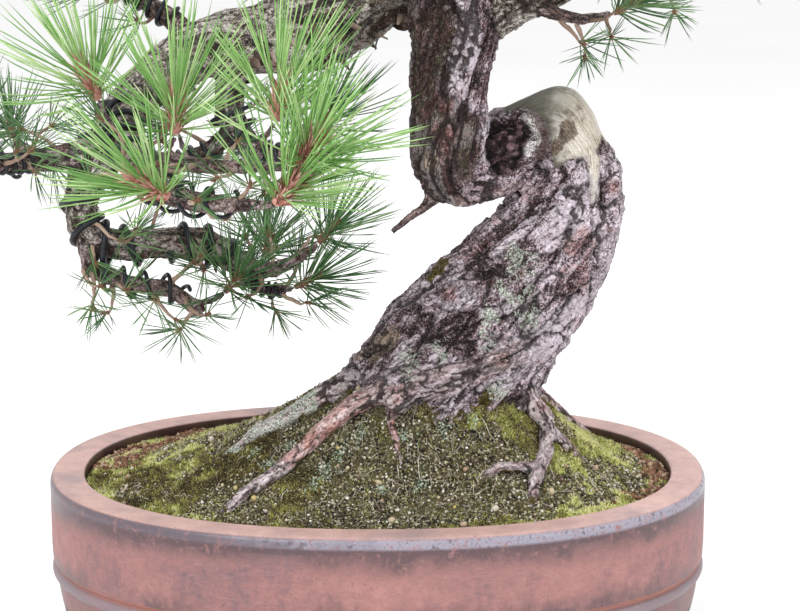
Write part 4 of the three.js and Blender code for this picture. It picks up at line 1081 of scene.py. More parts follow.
class Limb:
    """A route's samples with a frame at each, so that bark can run along it."""

    def __init__(self, route):
        self.centres, self.radii = spline(route)
        self.tangents = unit(np.gradient(self.centres, axis=0))
        steps = np.linalg.norm(np.diff(self.centres, axis=0), axis=1)
        self.along = np.concatenate([[0], np.cumsum(steps)])
        start = (0.0, 1.0, 0.0) if abs(self.tangents[0][1]) < 0.8 else (0.0, 0.0, 1.0)
        normal = np.cross(self.tangents[0], start)
        normals = []
        for tangent in self.tangents:
            normal = normal - tangent * normal.dot(tangent)
            normal = normal / np.linalg.norm(normal)
            normals.append(normal)
        self.normals = np.array(normals)
        self.sides = np.cross(self.tangents, self.normals)

    def at(self, share):
        """Middle, radius, direction and two cross directions at a share of the length."""
        s = share * self.along[-1]
        i = min(int(np.searchsorted(self.along, s)), len(self.along) - 1)
        return self.centres[i], self.radii[i], self.tangents[i], self.normals[i], self.sides[i]


limbs = {name: Limb(route) for name, (route, _) in ROUTES.items()}
limb_names = list(ROUTES)
KINDS = {"trunk": 0, "limb": 1, "root": 2, "stub": 3}
# How fast the grain turns round a limb, in radians a millimetre
GRAIN_TWIST = 0.006
# Points this far off every limb's skin belong to a twig of the model
TWIG_OFFSET = 6.0
TWIG_RADIUS = 2.0


def skin_of(points):
    """For each point of the tree: its place on the nearest limb's skin, that limb's radius there, its kind,
    its number and its direction."""
    count = len(points)
    off = np.full(count, 1e9)
    place = points.copy()
    radius = np.full(count, TWIG_RADIUS)
    kind = np.full(count, KINDS["limb"])
    which = np.full(count, -1)
    way = np.tile((0.0, 0.0, 1.0), (count, 1))
    for number, name in enumerate(limb_names):
        limb = limbs[name]
        margin = limb.radii.max() + 10
        low, high = limb.centres.min(axis=0) - margin, limb.centres.max(axis=0) + margin
        near = np.nonzero(np.all((points > low) & (points < high), axis=1))[0]
        for start in range(0, len(near), 20000):
            rows = near[start:start + 20000]
            part = points[rows]
            score = np.linalg.norm(part[:, None, :] - limb.centres[None], axis=2) - limb.radii[None]
            best = score.argmin(axis=1)
            value = score[np.arange(len(rows)), best]
            better = value < off[rows]
            rows, best, part, value = rows[better], best[better], part[better], value[better]
            delta = part - limb.centres[best]
            a = (delta * limb.normals[best]).sum(axis=1)
            b = (delta * limb.sides[best]).sum(axis=1)
            s = limb.along[best] + (delta * limb.tangents[best]).sum(axis=1)
            turn = s * GRAIN_TWIST
            u = a * np.cos(turn) + b * np.sin(turn)
            v = -a * np.sin(turn) + b * np.cos(turn)
            scale = limb.radii[best] / np.maximum(np.hypot(u, v), 0.5)
            place[rows] = np.column_stack([u * scale, v * scale, s])
            radius[rows] = limb.radii[best]
            off[rows] = value
            kind[rows] = KINDS[ROUTES[name][1]]
            which[rows] = number
            way[rows] = limb.tangents[best]
    twig = off > TWIG_OFFSET
    place[twig] = points[twig]
    radius[twig] = TWIG_RADIUS
    kind[twig] = KINDS["limb"]
    return place, radius, kind, which, way


# Marks on the front of the tree: lines and spots of [x, y, z] on its skin

# Grooves as (line, half width, depth), which the bark's material darkens with painted shade
GROOVES = [
    ([(126, -12, 303), (128.5, -16, 286), (127, -20, 268), (125, -21, 257), (124.5, -19, 240)], 1.9, 4.5),
    ([(57, -27, 292), (68, -22, 295), (79.5, -15, 300)], 2.4, 6.0),
    ([(19, -18, 321), (29, -27, 324), (39, -32, 326)], 1.1, 2.0),
    ([(22, -54, 176), (34, -53, 180), (50, -51, 186), (72, -46, 195), (88, -38, 201)], 1.5, 3.5),
    ([(10, -53, 171), (30, -57, 169), (50, -52, 176), (76, -45, 184)], 1.6, 3.5),
    ([(96, -14, 291), (84, -24, 270), (66, -33, 246), (52, -38, 228)], 1.3, 2.6),
    ([(112, -22, 276), (100, -31, 250), (92, -36, 226)], 1.2, 2.4),
    ([(120, -22, 262), (112, -29, 240), (106, -32, 222)], 1.2, 2.6),
    ([(47, -24, 300), (43, -20, 285)], 1.3, 2.4),
    ([(68, -22, 276), (76, -20, 279.5), (83, -18, 284), (87, -15, 289)], 2.0, 6.0),
]
# Raised strips as (line, half width, height, paleness)
RIDGES = [
    ([(129.6, -6.4, 307), (134.5, -10, 294), (136.5, -13, 280), (136, -13, 266), (132, -16, 250),
      (128, -15, 236)], 5.0, 3.0, 0.1),
    ([(53.2, -26.3, 303), (49, -23, 289), (44.1, -18, 275)], 3.2, 1.8, 0.9),
    ([(44, -19, 278), (57.6, -17.5, 278), (69, -14.2, 282), (81, -10, 288)], 4.2, 1.6, 0.7),
    ([(14, -53.7, 180), (29, -53, 184.5), (43, -49.6, 190), (62.6, -47.3, 196.5),
      (83, -42.8, 204)], 4.4, 2.4, 0.75),
    ([(30.1, -54.9, 174), (45.8, -52.4, 180), (65.4, -48.2, 187.5), (86, -39.1, 196)], 3.6, 1.8, 0.6),
]
# The rotten hollow: the rolled bark at its edge, as (line, half width), its middle and its reach in x and z,
# and the pale fringe along it
HOLLOW_ROLL = ([(76, -6, 330), (84, -8, 327), (91, -9, 322), (93.5, -10, 313), (92, -11, 302), (88, -14, 291),
                (84, -18, 281)], 5.4)
HOLLOW_MIDDLE = (73.0, 307.5)
HOLLOW_REACH = (14.0, 19.0)
FRINGE = [(76, -7, 328), (82, -8, 326), (87, -9, 321), (87.5, -11, 312), (85, -13, 304)]
# The arch is drawn up at its right end and down at its left: [place, shift, reach].
NUDGES = [((106, 340), (0, 0, 4.6), 15), ((81, 337), (0, 0, -4.0), 12), ((130, 315), (-2.2, 0, 0), 12)]
# The upright stretch's dark side, as [height, how far right it reaches]
LEFT_SIDE = [(268, 36), (276, 40), (290, 49), (300, 56), (325, 57), (333, 46), (400, 44)]
# Holes in the bare wood, as (middle, reach, depth)
KNOT_HOLE = ((117.8, -3.5, 324), (2.2, 5, 2.6), 3.0)
KNOT_SLIT = ((104.0, -9, 314), (2.6, 7, 6.5), 4.0)
TORN_SPOTS = [(105.5, -8, 319, 6.5), (103, -9, 310, 6), (118.3, -3.5, 324, 2.4), (99, -10, 300, 4)]
# Spots of colour as [x, y, z, reach]
RUST_SPOTS = [(116, -28, 253, 13), (112, -27, 240, 12), (81, -38, 240, 9), (62, -37, 238, 6),
              (39, -33, 229, 6), (133, -14, 268, 7), (134, -12, 286, 6), (36, -31, 340, 10),
              (36, -31, 316, 8)]
PALE_SPOTS = [(114, -25, 216, 16), (106, -31, 205, 12), (108, -24, 272, 12), (96, -29, 262, 13),
              (118, -20, 290, 8), (52, -31, 340, 9), (55, -27, 360, 9), (52, -29, 318, 6),
              (80, -31, 266, 12), (96, -34, 196, 12)]
TAN_SPOTS = [(31, -29, 303, 5), (-2, -21, 196, 11), (8, -26, 203, 8), (44, -20, 276, 5), (-10, -14, 188, 7)]
LICHEN_SPOTS = [(55, -26, 319, 6), (77, -37, 249, 17), (72, -39, 236, 13), (80, -41, 226, 13),
                (86, -38, 214, 12), (64, -41, 220, 10), (21, -47, 193, 12), (30, -47, 200, 12),
                (67, -47, 178, 10), (60, -45, 205, 8)]
DARK_SPOTS = [(34, -30, 229, 17), (20, -28, 215, 16), (4, -26, 200, 14), (52, -32, 244, 12),
              (88, -18, 284, 10), (74, -38, 256, 13), (60, -38, 244, 12), (50, -40, 232, 14),
              (40, -44, 214, 16), (26, -22, 305, 14), (26, -24, 330, 12), (46, -46, 204, 12),
              (24, -14, 290, 12)]
MOSS_SPOTS = [(50, -16, 253, 7), (36, -12, 243, 11), (28, -8, 236, 9), (44, -14, 256, 6),
              (-26, -12, 172, 14), (10, -50, 198, 10), (62, -48, 172, 9), (46, -50, 210, 8)]
# Stretches of root with fresh skin, as [x, y]
FRESH_ROOTS = [[(-2, -46), (-16, -46), (-31, -51), (-44, -60), (-56, -68)],
               [(8, -57), (9, -61), (11, -67), (13, -72)]]

# Each kind of spot with its places, its seed and how ragged its edge is
SPOTS = {
    "rust": (RUST_SPOTS, 43, 0.45), "pale": (PALE_SPOTS, 47, 0.45), "tan": (TAN_SPOTS, 53, 0.45),
    "lichen": (LICHEN_SPOTS, 59, 0.6), "dark": (DARK_SPOTS, 61, 0.5), "mossy": (MOSS_SPOTS, 67, 0.5),
    "torn": (TORN_SPOTS, 71, 0.7),
}


def taper(share, first, last):
    """1 along a line, but for its two ends, where it fades to 0."""
    return smoothstep(0, first, share) * smoothstep(1, last, share)


def spots(points, places, seed, roughness):
    """How strongly each point lies in one of the spots, with ragged edges."""
    ragged = fractal(points * 0.13, 3, seed) * roughness * 2
    amount = np.zeros(len(points))
    for x, y, z, reach in places:
        share = np.linalg.norm(points - (x, y, z), axis=1) / reach
        amount = np.maximum(amount, smoothstep(1.0, 0.55, share + ragged))
    return amount


# How far right the bare wood is olive
OLIVE_WOOD_EDGE = 105


def bare_wood(p):
    """Where the arch is bare, smooth wood: its outer side, with a tongue down its right edge."""
    x, y, z = p.T
    wobble = fractal(p * 0.09, 3, 77) * 5
    edge = np.interp(x, (70, 76, 82, 88, 92, 95, 97, 98.5, 100, 104, 113, 122, 126, 131),
                     (331, 328.5, 328, 327, 325, 320, 312, 301, 296.5, 299, 302, 304, 308, 322))
    edge = np.where(y > 4, 318 - 0.3 * np.abs(x - 95), edge)
    over = smoothstep(-1.2, 1.2, z - edge + wobble * np.where(y > 4, 1.6, 0.35))
    over = over * smoothstep(68, 73, x) * smoothstep(352, 344, z)
    tongue, share = distance_to_line(p, [(122.5, -12, 303), (123, -14, 296), (122.5, -17, 287),
                                         (121, -19, 279)])
    tongue = smoothstep(6.4, 5.2, tongue + np.abs(wobble) * 0.15 + share * 4.0)
    return np.clip(np.maximum(over, tongue), 0, 1)


def tree_marks(p, n):
    """Every mark that the skin and its material share, worked out once from the plain skin."""
    front = smoothstep(0.55, 0.1, n[:, 1])
    marks = {"bare": bare_wood(p)}
    groove_depth = np.zeros(len(p))
    groove = np.zeros(len(p))
    for line, width, depth in GROOVES:
        distance, share = distance_to_line(p, line)
        wander = distance + fractal(p * 0.16, 3, 31) * 2.4
        cut = np.exp(-((wander / width) ** 2)) * taper(share, 0.12, 0.88) * (distance < 4 * width)
        groove_depth = np.maximum(groove_depth, cut * depth)
        groove = np.maximum(groove, cut)
    ridge = np.zeros(len(p))
    strip = np.zeros(len(p))
    for line, width, height, paleness in RIDGES:
        distance, share = distance_to_line(p, line)
        cut = smoothstep(width, width * 0.6, distance + fractal(p * 0.14, 2, 37) * 2.2)
        cut = cut * smoothstep(0, 0.06, share) * smoothstep(1, 0.94, share)
        ridge = np.maximum(ridge, cut * height)
        strip = np.maximum(strip, cut * paleness)
    line, width = HOLLOW_ROLL
    distance, share = distance_to_line(p, line)
    roll = smoothstep(width, width * 0.4, distance) * smoothstep(0, 0.1, share) * smoothstep(1, 0.85, share)
    marks["roll"] = roll * front
    distance, _ = distance_to_line(p, FRINGE)
    marks["fringe"] = smoothstep(4.6, 1.6, distance + fractal(p * 0.16, 2, 73) * 3) * front
    inward = np.linalg.norm((p[:, [0, 2]] - HOLLOW_MIDDLE) / HOLLOW_REACH, axis=1)
    inward = smoothstep(1.05, 0.75, inward + fractal(p * 0.12, 3, 41) * 0.5)
    marks["hollow"] = inward * (1 - roll) * smoothstep(0.2, -0.1, n[:, 1]) * (p[:, 1] < 2)
    marks["groove"] = groove
    marks["groove_depth"] = groove_depth
    marks["ridge"] = ridge * (1 - marks["bare"])
    marks["strip"] = strip * (1 - marks["bare"])
    for name, (places, seed, roughness) in SPOTS.items():
        marks[name] = spots(p, places, seed, roughness)
    # The left side of the upright stretch over the elbow is dark.
    heights, edges = np.array(LEFT_SIDE, dtype=float).T
    edge = np.interp(p[:, 2], heights, edges)
    shadow = smoothstep(edge + 3, edge - 5, p[:, 0] + fractal(p * 0.07, 3, 69) * 12) * (p[:, 0] > -5)
    shadow = shadow * smoothstep(heights[0] - 8, heights[0] + 8, p[:, 2])
    shadow = shadow * smoothstep(heights[-1] + 10, heights[-1] - 20, p[:, 2])
    marks["dark"] = np.maximum(marks["dark"], shadow * (p[:, 1] < 6))
    marks["olive"] = shadow * (p[:, 1] < 6)
    return marks


def bark_shape(q, radius, marks):
    """Height of flakes and cracks over the skin, and how deep in a crack and how high a flake is."""
    size = np.clip(radius / 40, 0.16, 1.0)
    grain_scale = np.clip(0.45 + radius / 60, 0.5, 1.0)[:, None]
    q = q / grain_scale
    warp = np.column_stack([fractal(q * (0.03, 0.03, 0.014), 2, k) for k in (101, 102, 103)])
    q = q + warp * (16, 16, 26)
    furrow = valley(fractal(q * (0.062, 0.062, 0.017), 3, 110), 0.05)
    cross = valley(fractal(q * (0.085, 0.085, 0.06), 3, 120), 0.03)
    first, second, plate = cells(q * (0.082, 0.082, 0.036), 160)
    open_share = smoothstep(-0.22, 0.12, fractal(q * (0.05, 0.05, 0.02), 2, 170))
    gap = (1 - smoothstep(0.03, 0.15, second - first)) * open_share
    first, second, scrap = cells(q * (0.17, 0.17, 0.08), 180)
    small_gap = (1 - smoothstep(0.03, 0.18, second - first)) * (1 - 0.6 * open_share)
    flake_noise = fractal(q * (0.1, 0.1, 0.036), 3, 130)
    flakes = terrace(flake_noise * 1.25, 6)
    chips = terrace(fractal(q * (0.3, 0.3, 0.12), 2, 140), 4)
    fine = fractal(q * 0.5, 2, 150)
    smooth_plate = marks["pale"] * 0.5
    crack = np.clip(furrow * (1 - smooth_plate) + cross * 0.5 + gap * 0.8 + small_gap * 0.35, 0, 1)
    height = size * (4.2 * (flakes - 0.5) + 1.7 * (chips - 0.5) * (1 - smooth_plate) + 1.8 * (plate - 0.5)
                     + 0.8 * (scrap - 0.5) - 3.0 * furrow * (1 - smooth_plate) - 1.0 * cross - 1.9 * gap
                     - 0.8 * small_gap) + 0.45 * fine
    return height, crack, np.clip(flakes * 0.7 + plate * 0.2 + scrap * 0.14, 0, 1)


def relax(points, edges, share, rounds):
    """Moves each point toward the middle of its neighbours, by its own share, some times over."""
    count = len(points)
    neighbours = np.bincount(edges.ravel(), minlength=count)
    a, b = edges.T
    for _ in range(rounds):
        middle = np.empty_like(points)
        for axis in range(3):
            middle[:, axis] = np.bincount(a, points[b, axis], count) + np.bincount(b, points[a, axis], count)
        points = points + share[:, None] * (middle / neighbours[:, None] - points)
    return points


def hollowness(points, normals, edges, rounds):
    """How far the surface sinks below its surroundings, from -1 on ridges to 1 in hollows."""
    smooth = relax(points, edges, np.full(len(points), 0.5), rounds)
    return np.clip(((smooth - points) * normals).sum(axis=1), -3, 3) / 3


VOXEL = 1.5
TREE_TRIANGLES = 196000
# How often thick wood and all wood is smoothed
SMOOTH_ROUNDS = 34
TWIG_ROUNDS = 4


def build_trunk():
    tree = new_object("tree", frame["nodes"]["trunk"].data.copy())
    remesh = tree.modifiers.new("remesh", "REMESH")
    remesh.mode = "VOXEL"
    remesh.voxel_size = VOXEL * MM
    bake_modifiers(tree)
    mesh = tree.data
    edges = mesh_edges(mesh)
    p = local(coordinates(mesh))
    radius = skin_of(p)[1]
    # Round off the model's flat faces, most where the wood is thick, and give back what that takes.
    share = 0.5 * smoothstep(6, 22, radius)
    p = relax(p, edges, share, SMOOTH_ROUNDS)
    p = relax(p, edges, np.full(len(p), 0.5), TWIG_ROUNDS)
    put_coordinates(mesh, p)
    n = vertex_normals(mesh)
    lost = (SMOOTH_ROUNDS * share + TWIG_ROUNDS * 0.5) * VOXEL**2 / (4 * np.maximum(radius, 3))
    p = p + n * lost[:, None]
    for place, shift, reach in NUDGES:
        nearness = np.exp(-((np.linalg.norm(p[:, [0, 2]] - place, axis=1) / reach) ** 2))
        p = p + nearness[:, None] * shift
    q, radius, _, _, _ = skin_of(p)
    marks = tree_marks(p, n)
    height, _, _ = bark_shape(q, radius, marks)
    bare = marks["bare"]
    fibre = fractal(q * (0.32, 0.32, 0.022), 3, 600) * 0.7 + fractal(q * (0.05, 0.05, 0.02), 2, 610) * 1.6
    for place, size, depth in (KNOT_HOLE, KNOT_SLIT):
        fibre = fibre - np.exp(-(np.linalg.norm((p - place) / size, axis=1) ** 2)) * depth
    move = height * (1 - bare) + (fibre - 1.0) * bare
    lumps, _, _ = cells(p / 8.5, 640)
    move = move * (1 - marks["hollow"] * 0.7) - marks["hollow"] * (2.5 + lumps * 7.0)
    move = move * (1 - marks["roll"] * 0.7) + marks["roll"] * 1.8
    move = move + marks["ridge"] - marks["groove_depth"] * (1 - bare * 0.8)
    # Under wire and on twigs the bark stays within the model's skin.
    slim = smoothstep(13, 8, radius)
    move = np.clip(move, -11, 3.4) * (1 - slim) + (np.clip(move, -1.2, 0.5) - 0.1) * slim
    move = move * smoothstep(2.0, 3.2, radius + 0.8)
    below = smoothstep(-6, -3, p[:, 2] - soil_height(p[:, :2])[0])
    p = p + n * (move * below)[:, None]
    put_coordinates(mesh, p)
    return tree


# The marks that the bark's material reads as they are
PLAIN_MARKS = ("torn", "fringe", "bare", "roll", "hollow", "strip", "rust", "pale", "tan")


def dress_trunk(tree):
    """Thins the mesh to its limit and gives it the values that its material reads."""
    mesh = tree.data
    mesh.calc_loop_triangles()
    thin = tree.modifiers.new("thin", "DECIMATE")
    thin.ratio = min(1.0, TREE_TRIANGLES / len(mesh.loop_triangles))
    bake_modifiers(tree)
    mesh = tree.data
    p = local(coordinates(mesh))
    n = vertex_normals(mesh)
    edges = mesh_edges(mesh)
    q, radius, kind, which, _ = skin_of(p)
    marks = tree_marks(p, n)
    _, crack, flakes = bark_shape(q, radius, marks)
    above = p[:, 2] - soil_height(p[:, :2])[0]
    # Roots lose the trunk's bark as they leave it; the long root's middle is freshly bare.
    apart = np.linalg.norm(p[:, :2] - (31, 0), axis=1) + fractal(p * 0.12, 2, 79) * 12
    root = (kind == KINDS["root"]) * smoothstep(50, 60, apart)
    fresh = np.zeros(len(p))
    for line in FRESH_ROOTS:
        line = np.array(line, dtype=float)
        line = np.column_stack([line, soil_height(line)[0] + 4])
        distance, share = distance_to_line(p, line)
        skinned = smoothstep(11, 7, distance + fractal(p * 0.14, 3, 83) * 9)
        fresh = np.maximum(fresh, skinned * taper(share, 0.12, 0.85))
    left_root = which == limb_names.index(f"root{LEFT_ROOT}")
    lichen = np.maximum(marks["lichen"], left_root * (p[:, 0] < -34) * 1.15)
    lichen = np.maximum(lichen, smoothstep(0.2, 0.36, fractal(p * 0.035, 3, 810)) * 0.5)
    mossy = np.maximum(marks["mossy"], smoothstep(5, 0.5, above + fractal(p * 0.2, 2, 700) * 8) * 0.9)
    low_left = smoothstep(30, -10, p[:, 0]) * smoothstep(215, 175, p[:, 2]) * (1 - root)
    mossy = np.maximum(mossy, low_left * smoothstep(0.0, 0.2, fractal(p * 0.06, 3, 710)))
    stub = kind == KINDS["stub"]
    young = np.maximum((kind == KINDS["limb"]) * smoothstep(11, 6, radius), stub)
    set_attribute(mesh, "skin", q, "FLOAT_VECTOR")
    values = {
        "crack": np.clip(np.maximum(crack, marks["groove"]) * (1 - marks["bare"] * 0.85), 0, 1),
        "olive": marks["olive"] * (1 - stub),
        "limb": (kind == KINDS["limb"]) * smoothstep(7, 10, radius),
        "flakes": flakes,
        "dark": marks["dark"] * (1 - stub),
        "lichen": lichen * (1 - marks["olive"] * 0.7),
        "mossy": mossy * (1 - marks["bare"]),
        "root": root * smoothstep(0, 3, above),
        "fresh": fresh,
        "young": young,
        # How far the skin sinks, finely and broadly: the material paints shade into its dips and a highlight
        # onto its ridges.
        "cavity": hollowness(p, n, edges, 3) * 2.0,
        "basin": hollowness(p, n, edges, 16),
    }
    for name in PLAIN_MARKS:
        values[name] = marks[name]
    for name, value in values.items():
        set_attribute(mesh, name, value)
    mesh.shade_smooth()


FLAKE_COUNT = 130
FLAKE_WIDTHS = (0.6, 1.0, 0.85, 0.3)
FLAKE_THICKNESS = 0.5


def build_flakes(tree):
    """Loose scales of bark that peel off the left limb, most of them from its underside."""
    draw = np.random.default_rng(97)
    mesh = tree.data
    points = local(coordinates(mesh))
    normals = vertex_normals(mesh)
    _, radius, kind, _, way = skin_of(points)
    weight = (kind == KINDS["limb"]) * (radius > 9) * (points[:, 0] < 25)
    weight = weight * smoothstep(0.3, -0.4, normals[:, 2])
    chosen = draw.choice(len(points), FLAKE_COUNT, False, weight / weight.sum())
    at, up = points[chosen], normals[chosen]
    each = (FLAKE_COUNT, 1)
    along = way[chosen] * draw.choice((-1, 1), each) + up * draw.uniform(0.2, 0.8, each)
    along = unit(along + (0, 0, -0.6))
    side = unit(np.cross(along, up))
    length = draw.uniform(4.5, 11.0, each)
    width = length * draw.uniform(0.2, 0.34, each)
    curl = draw.uniform(-0.35, 0.5, each)
    at = at - up * 0.9
    rows = []
    for step, share in enumerate(FLAKE_WIDTHS):
        half = side * width * share * draw.uniform(0.75, 1.25, each)
        cup = up * width * 0.3
        under = up * FLAKE_THICKNESS
        rows += [at - half, at + cup, at + half, at + half - under, at + cup - under, at - half - under]
        at = at + unit(along + up * curl * step) * length / 3
    vertices = np.stack(rows, axis=1)
    ring = len(rows) // len(FLAKE_WIDTHS)
    faces = ring_triangles(len(FLAKE_WIDTHS), ring)
    last = len(rows) - ring
    faces += [(0, 5, 4), (0, 4, 1), (1, 4, 3), (1, 3, 2)]
    faces += [(last, last + 4, last + 5), (last, last + 1, last + 4), (last + 1, last + 3, last + 4),
              (last + 1, last + 2, last + 3)]
    index = repeated(faces, FLAKE_COUNT, len(rows))
    flakes = triangles_object("loose_bark", world(vertices.reshape(-1, 3)), index, False)
    tones = draw.uniform(0.1, 0.75, each) + np.repeat(np.linspace(-0.1, 0.2, len(FLAKE_WIDTHS)), ring)
    set_attribute(flakes.data, "tone", np.clip(tones, 0, 1).ravel())
    return flakes


class Bark(Graph):
    """The bark's node tree, with the patterns that several of its layers share."""

    def __init__(self):
        super().__init__("pine_bark", 0.85, 0.25)
        self.spot = self.place()
        self.skin = self.attribute("skin", "Vector")
        self.crack = self.attribute("crack")
        self.cavity = self.attribute("cavity")
        self.bare = self.attribute("bare")
        self.pale = self.attribute("pale")
        # Thin flakes that lie over each other, as steps in a noise drawn out along the grain
        self.flow = self.grain(0.17, 0.065, 7, 0.62, 0.35)
        steps = self.flow * 13.0
        self.part = self.math("FRACT", steps)
        self.flake_height = (steps - self.part) + self.between(self.part, 0.0, 0.28)
        self.hair = self.grain(1.1, 0.5, 4, 0.7)
        self.grit = self.noise(self.spot, 1300.0, 2, 0.6)

    def grain(self, across, along, detail, roughness, distortion=0.0):
        """A noise with its own scales across the grain of the wood and along it."""
        drawn_out = self.stretched(self.skin, (across, across, along))
        return self.noise(drawn_out, 1.0, detail, roughness, distortion)


def bark_plates(g):
    """Plates with torn edges, large ones and scraps: their tones, then the gaps between them."""
    torn = g.warped(g.warped(g.skin, 0.09, 13.0), 0.5, 3.2)
    plates = g.stretched(torn, (0.15, 0.15, 0.078))
    scraps = g.stretched(torn, (0.36, 0.36, 0.2))
    plate_edge = g.voronoi(plates, 1.0, "DISTANCE_TO_EDGE")
    scrap_edge = g.voronoi(scraps, 1.0, "DISTANCE_TO_EDGE")
    plate_tone = g.voronoi(plates, 1.0, "F1", "Color") - 0.5
    scrap_tone = g.voronoi(scraps, 1.0, "F1", "Color") - 0.5
    broken = g.grain(0.11, 0.06, 3, 0.6)
    plate_gap = g.between(plate_edge, 0.085, 0.02) * g.between(broken, 0.62, 0.44)
    scrap_gap = g.between(scrap_edge, 0.12, 0.03) * g.between(broken, 0.38, 0.55)
    return plate_tone, scrap_tone, plate_gap, scrap_gap


def bark_tone(g, plate_tone, scrap_tone):
    """How light the bark is, and the small chips that are part of that."""
    tone = g.attribute("flakes") * 0.42 + g.flow * 0.75 + g.hair * 0.38 + (g.grit - 0.5) * 0.55
    chips = g.noise(g.spot, 640.0, 3, 0.65)
    tone = tone + (chips - 0.5) * 0.4 + plate_tone * 0.17 + scrap_tone * 0.16 + g.pale * 0.13
    patchy = g.noise(g.spot, 40.0, 3, 0.6)
    tone = tone + (patchy - 0.5) * 0.34 - g.attribute("dark") * 0.115 - g.attribute("young") * 0.05
    return (tone - 0.66) * 1.22 + 0.631, chips


def old_bark(g, tone, plate_tone):
    """Lilac-grey on the trunk, browner on limbs, dark olive on the upright stretch's left side."""
    colour = g.ramp(tone, [(0.48, (0.012, 0.007, 0.007)), (0.56, (0.062, 0.033, 0.035)),
                           (0.65, (0.195, 0.120, 0.130)), (0.74, (0.42, 0.315, 0.355)),
                           (0.85, (0.74, 0.645, 0.72))])
    limb = g.ramp(tone, [(0.48, (0.012, 0.009, 0.006)), (0.57, (0.060, 0.046, 0.028)),
                         (0.66, (0.17, 0.14, 0.095)), (0.76, (0.40, 0.35, 0.28)),
                         (0.86, (0.66, 0.61, 0.53))])
    colour = g.mix(g.attribute("limb") * 0.85, colour, limb)
    olive = g.ramp(g.hair, [(0.35, (0.014, 0.012, 0.006)), (0.5, (0.060, 0.054, 0.028)),
                            (0.64, (0.19, 0.175, 0.11))])
    brown = g.ramp(g.hair, [(0.35, (0.014, 0.007, 0.006)), (0.5, (0.070, 0.033, 0.027)),
                            (0.64, (0.21, 0.125, 0.11))])
    dark = g.mix(g.between(plate_tone, -0.12, 0.06), brown, olive)
    return g.mix(g.attribute("olive") * 0.78, colour, dark)


def stained(g, colour, tone, plate_tone, warm):
    """Rusty patches, and strips and spots of pink and tan inner bark."""
    rust = g.most(g.attribute("rust"), g.between(warm, 0.56, 0.66) * 0.75)
    rust = rust * g.between(g.hair, 0.3, 0.55) * g.between(plate_tone, -0.35, 0.0)
    rusty = g.ramp(tone, [(0.46, (0.030, 0.009, 0.008)), (0.66, (0.19, 0.058, 0.05)),
                          (0.9, (0.50, 0.24, 0.21))])
    colour = g.mix(rust * 0.75, colour, rusty)
    pink = [(0.3, (0.22, 0.11, 0.10)), (0.5, (0.50, 0.35, 0.33)), (0.7, (0.70, 0.58, 0.55))]
    tan = [(0.3, (0.20, 0.13, 0.09)), (0.6, (0.50, 0.39, 0.29)), (0.8, (0.66, 0.56, 0.45))]
    for name, stops in (("strip", pink), ("tan", tan)):
        over = g.ramp(g.hair, stops)
        colour = g.mix(g.attribute(name) * 0.85, colour, over)
    return colour


def roots_and_twigs(g, colour, warm):
    """Roots are salmon where fresh and lilac-grey elsewhere, and young wood is light brown."""
    flow = g.grain(0.3, 0.1, 5, 0.6) * 0.7 + g.hair * 0.32
    red = g.ramp(flow, [(0.35, (0.09, 0.032, 0.027)), (0.43, (0.42, 0.185, 0.155)),
                        (0.50, (0.63, 0.35, 0.305)), (0.61, (0.85, 0.67, 0.64))])
    grey = g.ramp(flow, [(0.34, (0.034, 0.021, 0.020)), (0.42, (0.24, 0.16, 0.155)),
                         (0.49, (0.54, 0.43, 0.435)), (0.60, (0.84, 0.765, 0.775))])
    flushed = g.most(g.attribute("fresh"), g.between(warm, 0.5, 0.62) * 0.6)
    roots = g.mix(flushed, grey, red)
    colour = g.mix(g.attribute("root") * 0.85, colour, roots)
    young = g.ramp(g.flow, [(0.34, (0.07, 0.035, 0.026)), (0.46, (0.26, 0.16, 0.13)),
                            (0.56, (0.48, 0.35, 0.31)), (0.7, (0.66, 0.55, 0.50))])
    return g.mix(g.attribute("young") * 0.75, colour, young)


def cracked(g, colour, chips, plate_gap, scrap_gap):
    """Painted shade makes cracks, gaps, hollows and the undersides of flakes nearly black, and a painted
    highlight makes the highest edges paler.
    """
    fissure = g.between(abs(g.grain(0.26, 0.13, 5, 0.6, 0.5) - 0.5), 0.018, 0.0) * (1.0 - g.pale * 0.7)
    shade = (1.0 - g.between(g.part, 0.0, 0.09)) * (0.6 - g.attribute("root") * 0.4)
    gaps = g.most(plate_gap, scrap_gap * 0.75) * (1.0 - g.attribute("root") * 0.9) * (1.0 - g.pale * 0.55)
    dark = g.most(g.between(g.crack + (g.hair - 0.5) * 0.9, 0.35, 0.85), g.most(fissure, shade))
    dark = g.most(g.most(dark, gaps), g.between(g.cavity, 0.1, 0.5))
    # Painted shade darkens the larger hollows of the skin.
    deep = g.between(g.attribute("basin"), 0.15, 0.8) * 0.65
    colour = g.mix(deep, colour, (0.05, 0.034, 0.032), "MULTIPLY")
    black = g.ramp(g.hair, [(0.35, (0.006, 0.004, 0.004)), (0.62, (0.040, 0.026, 0.024))])
    colour = g.mix(dark * 0.92, colour, black)
    # Painted highlight: the raised edges of the skin are made paler.
    raised_highlight = g.between(g.cavity * -1.0, 0.1, 0.5) * g.between(g.grit, 0.42, 0.56)
    plain = 1.0 - g.attribute("olive") * 0.75
    colour = g.mix(raised_highlight * 0.5 * plain, colour, (0.66, 0.56, 0.61))
    colour = g.mix(g.between(g.grit, 0.60, 0.72) * 0.45 * plain, colour, (0.74, 0.67, 0.71))
    return g.mix(g.between(chips, 0.44, 0.36) * 0.6, colour, (0.022, 0.014, 0.014)), fissure


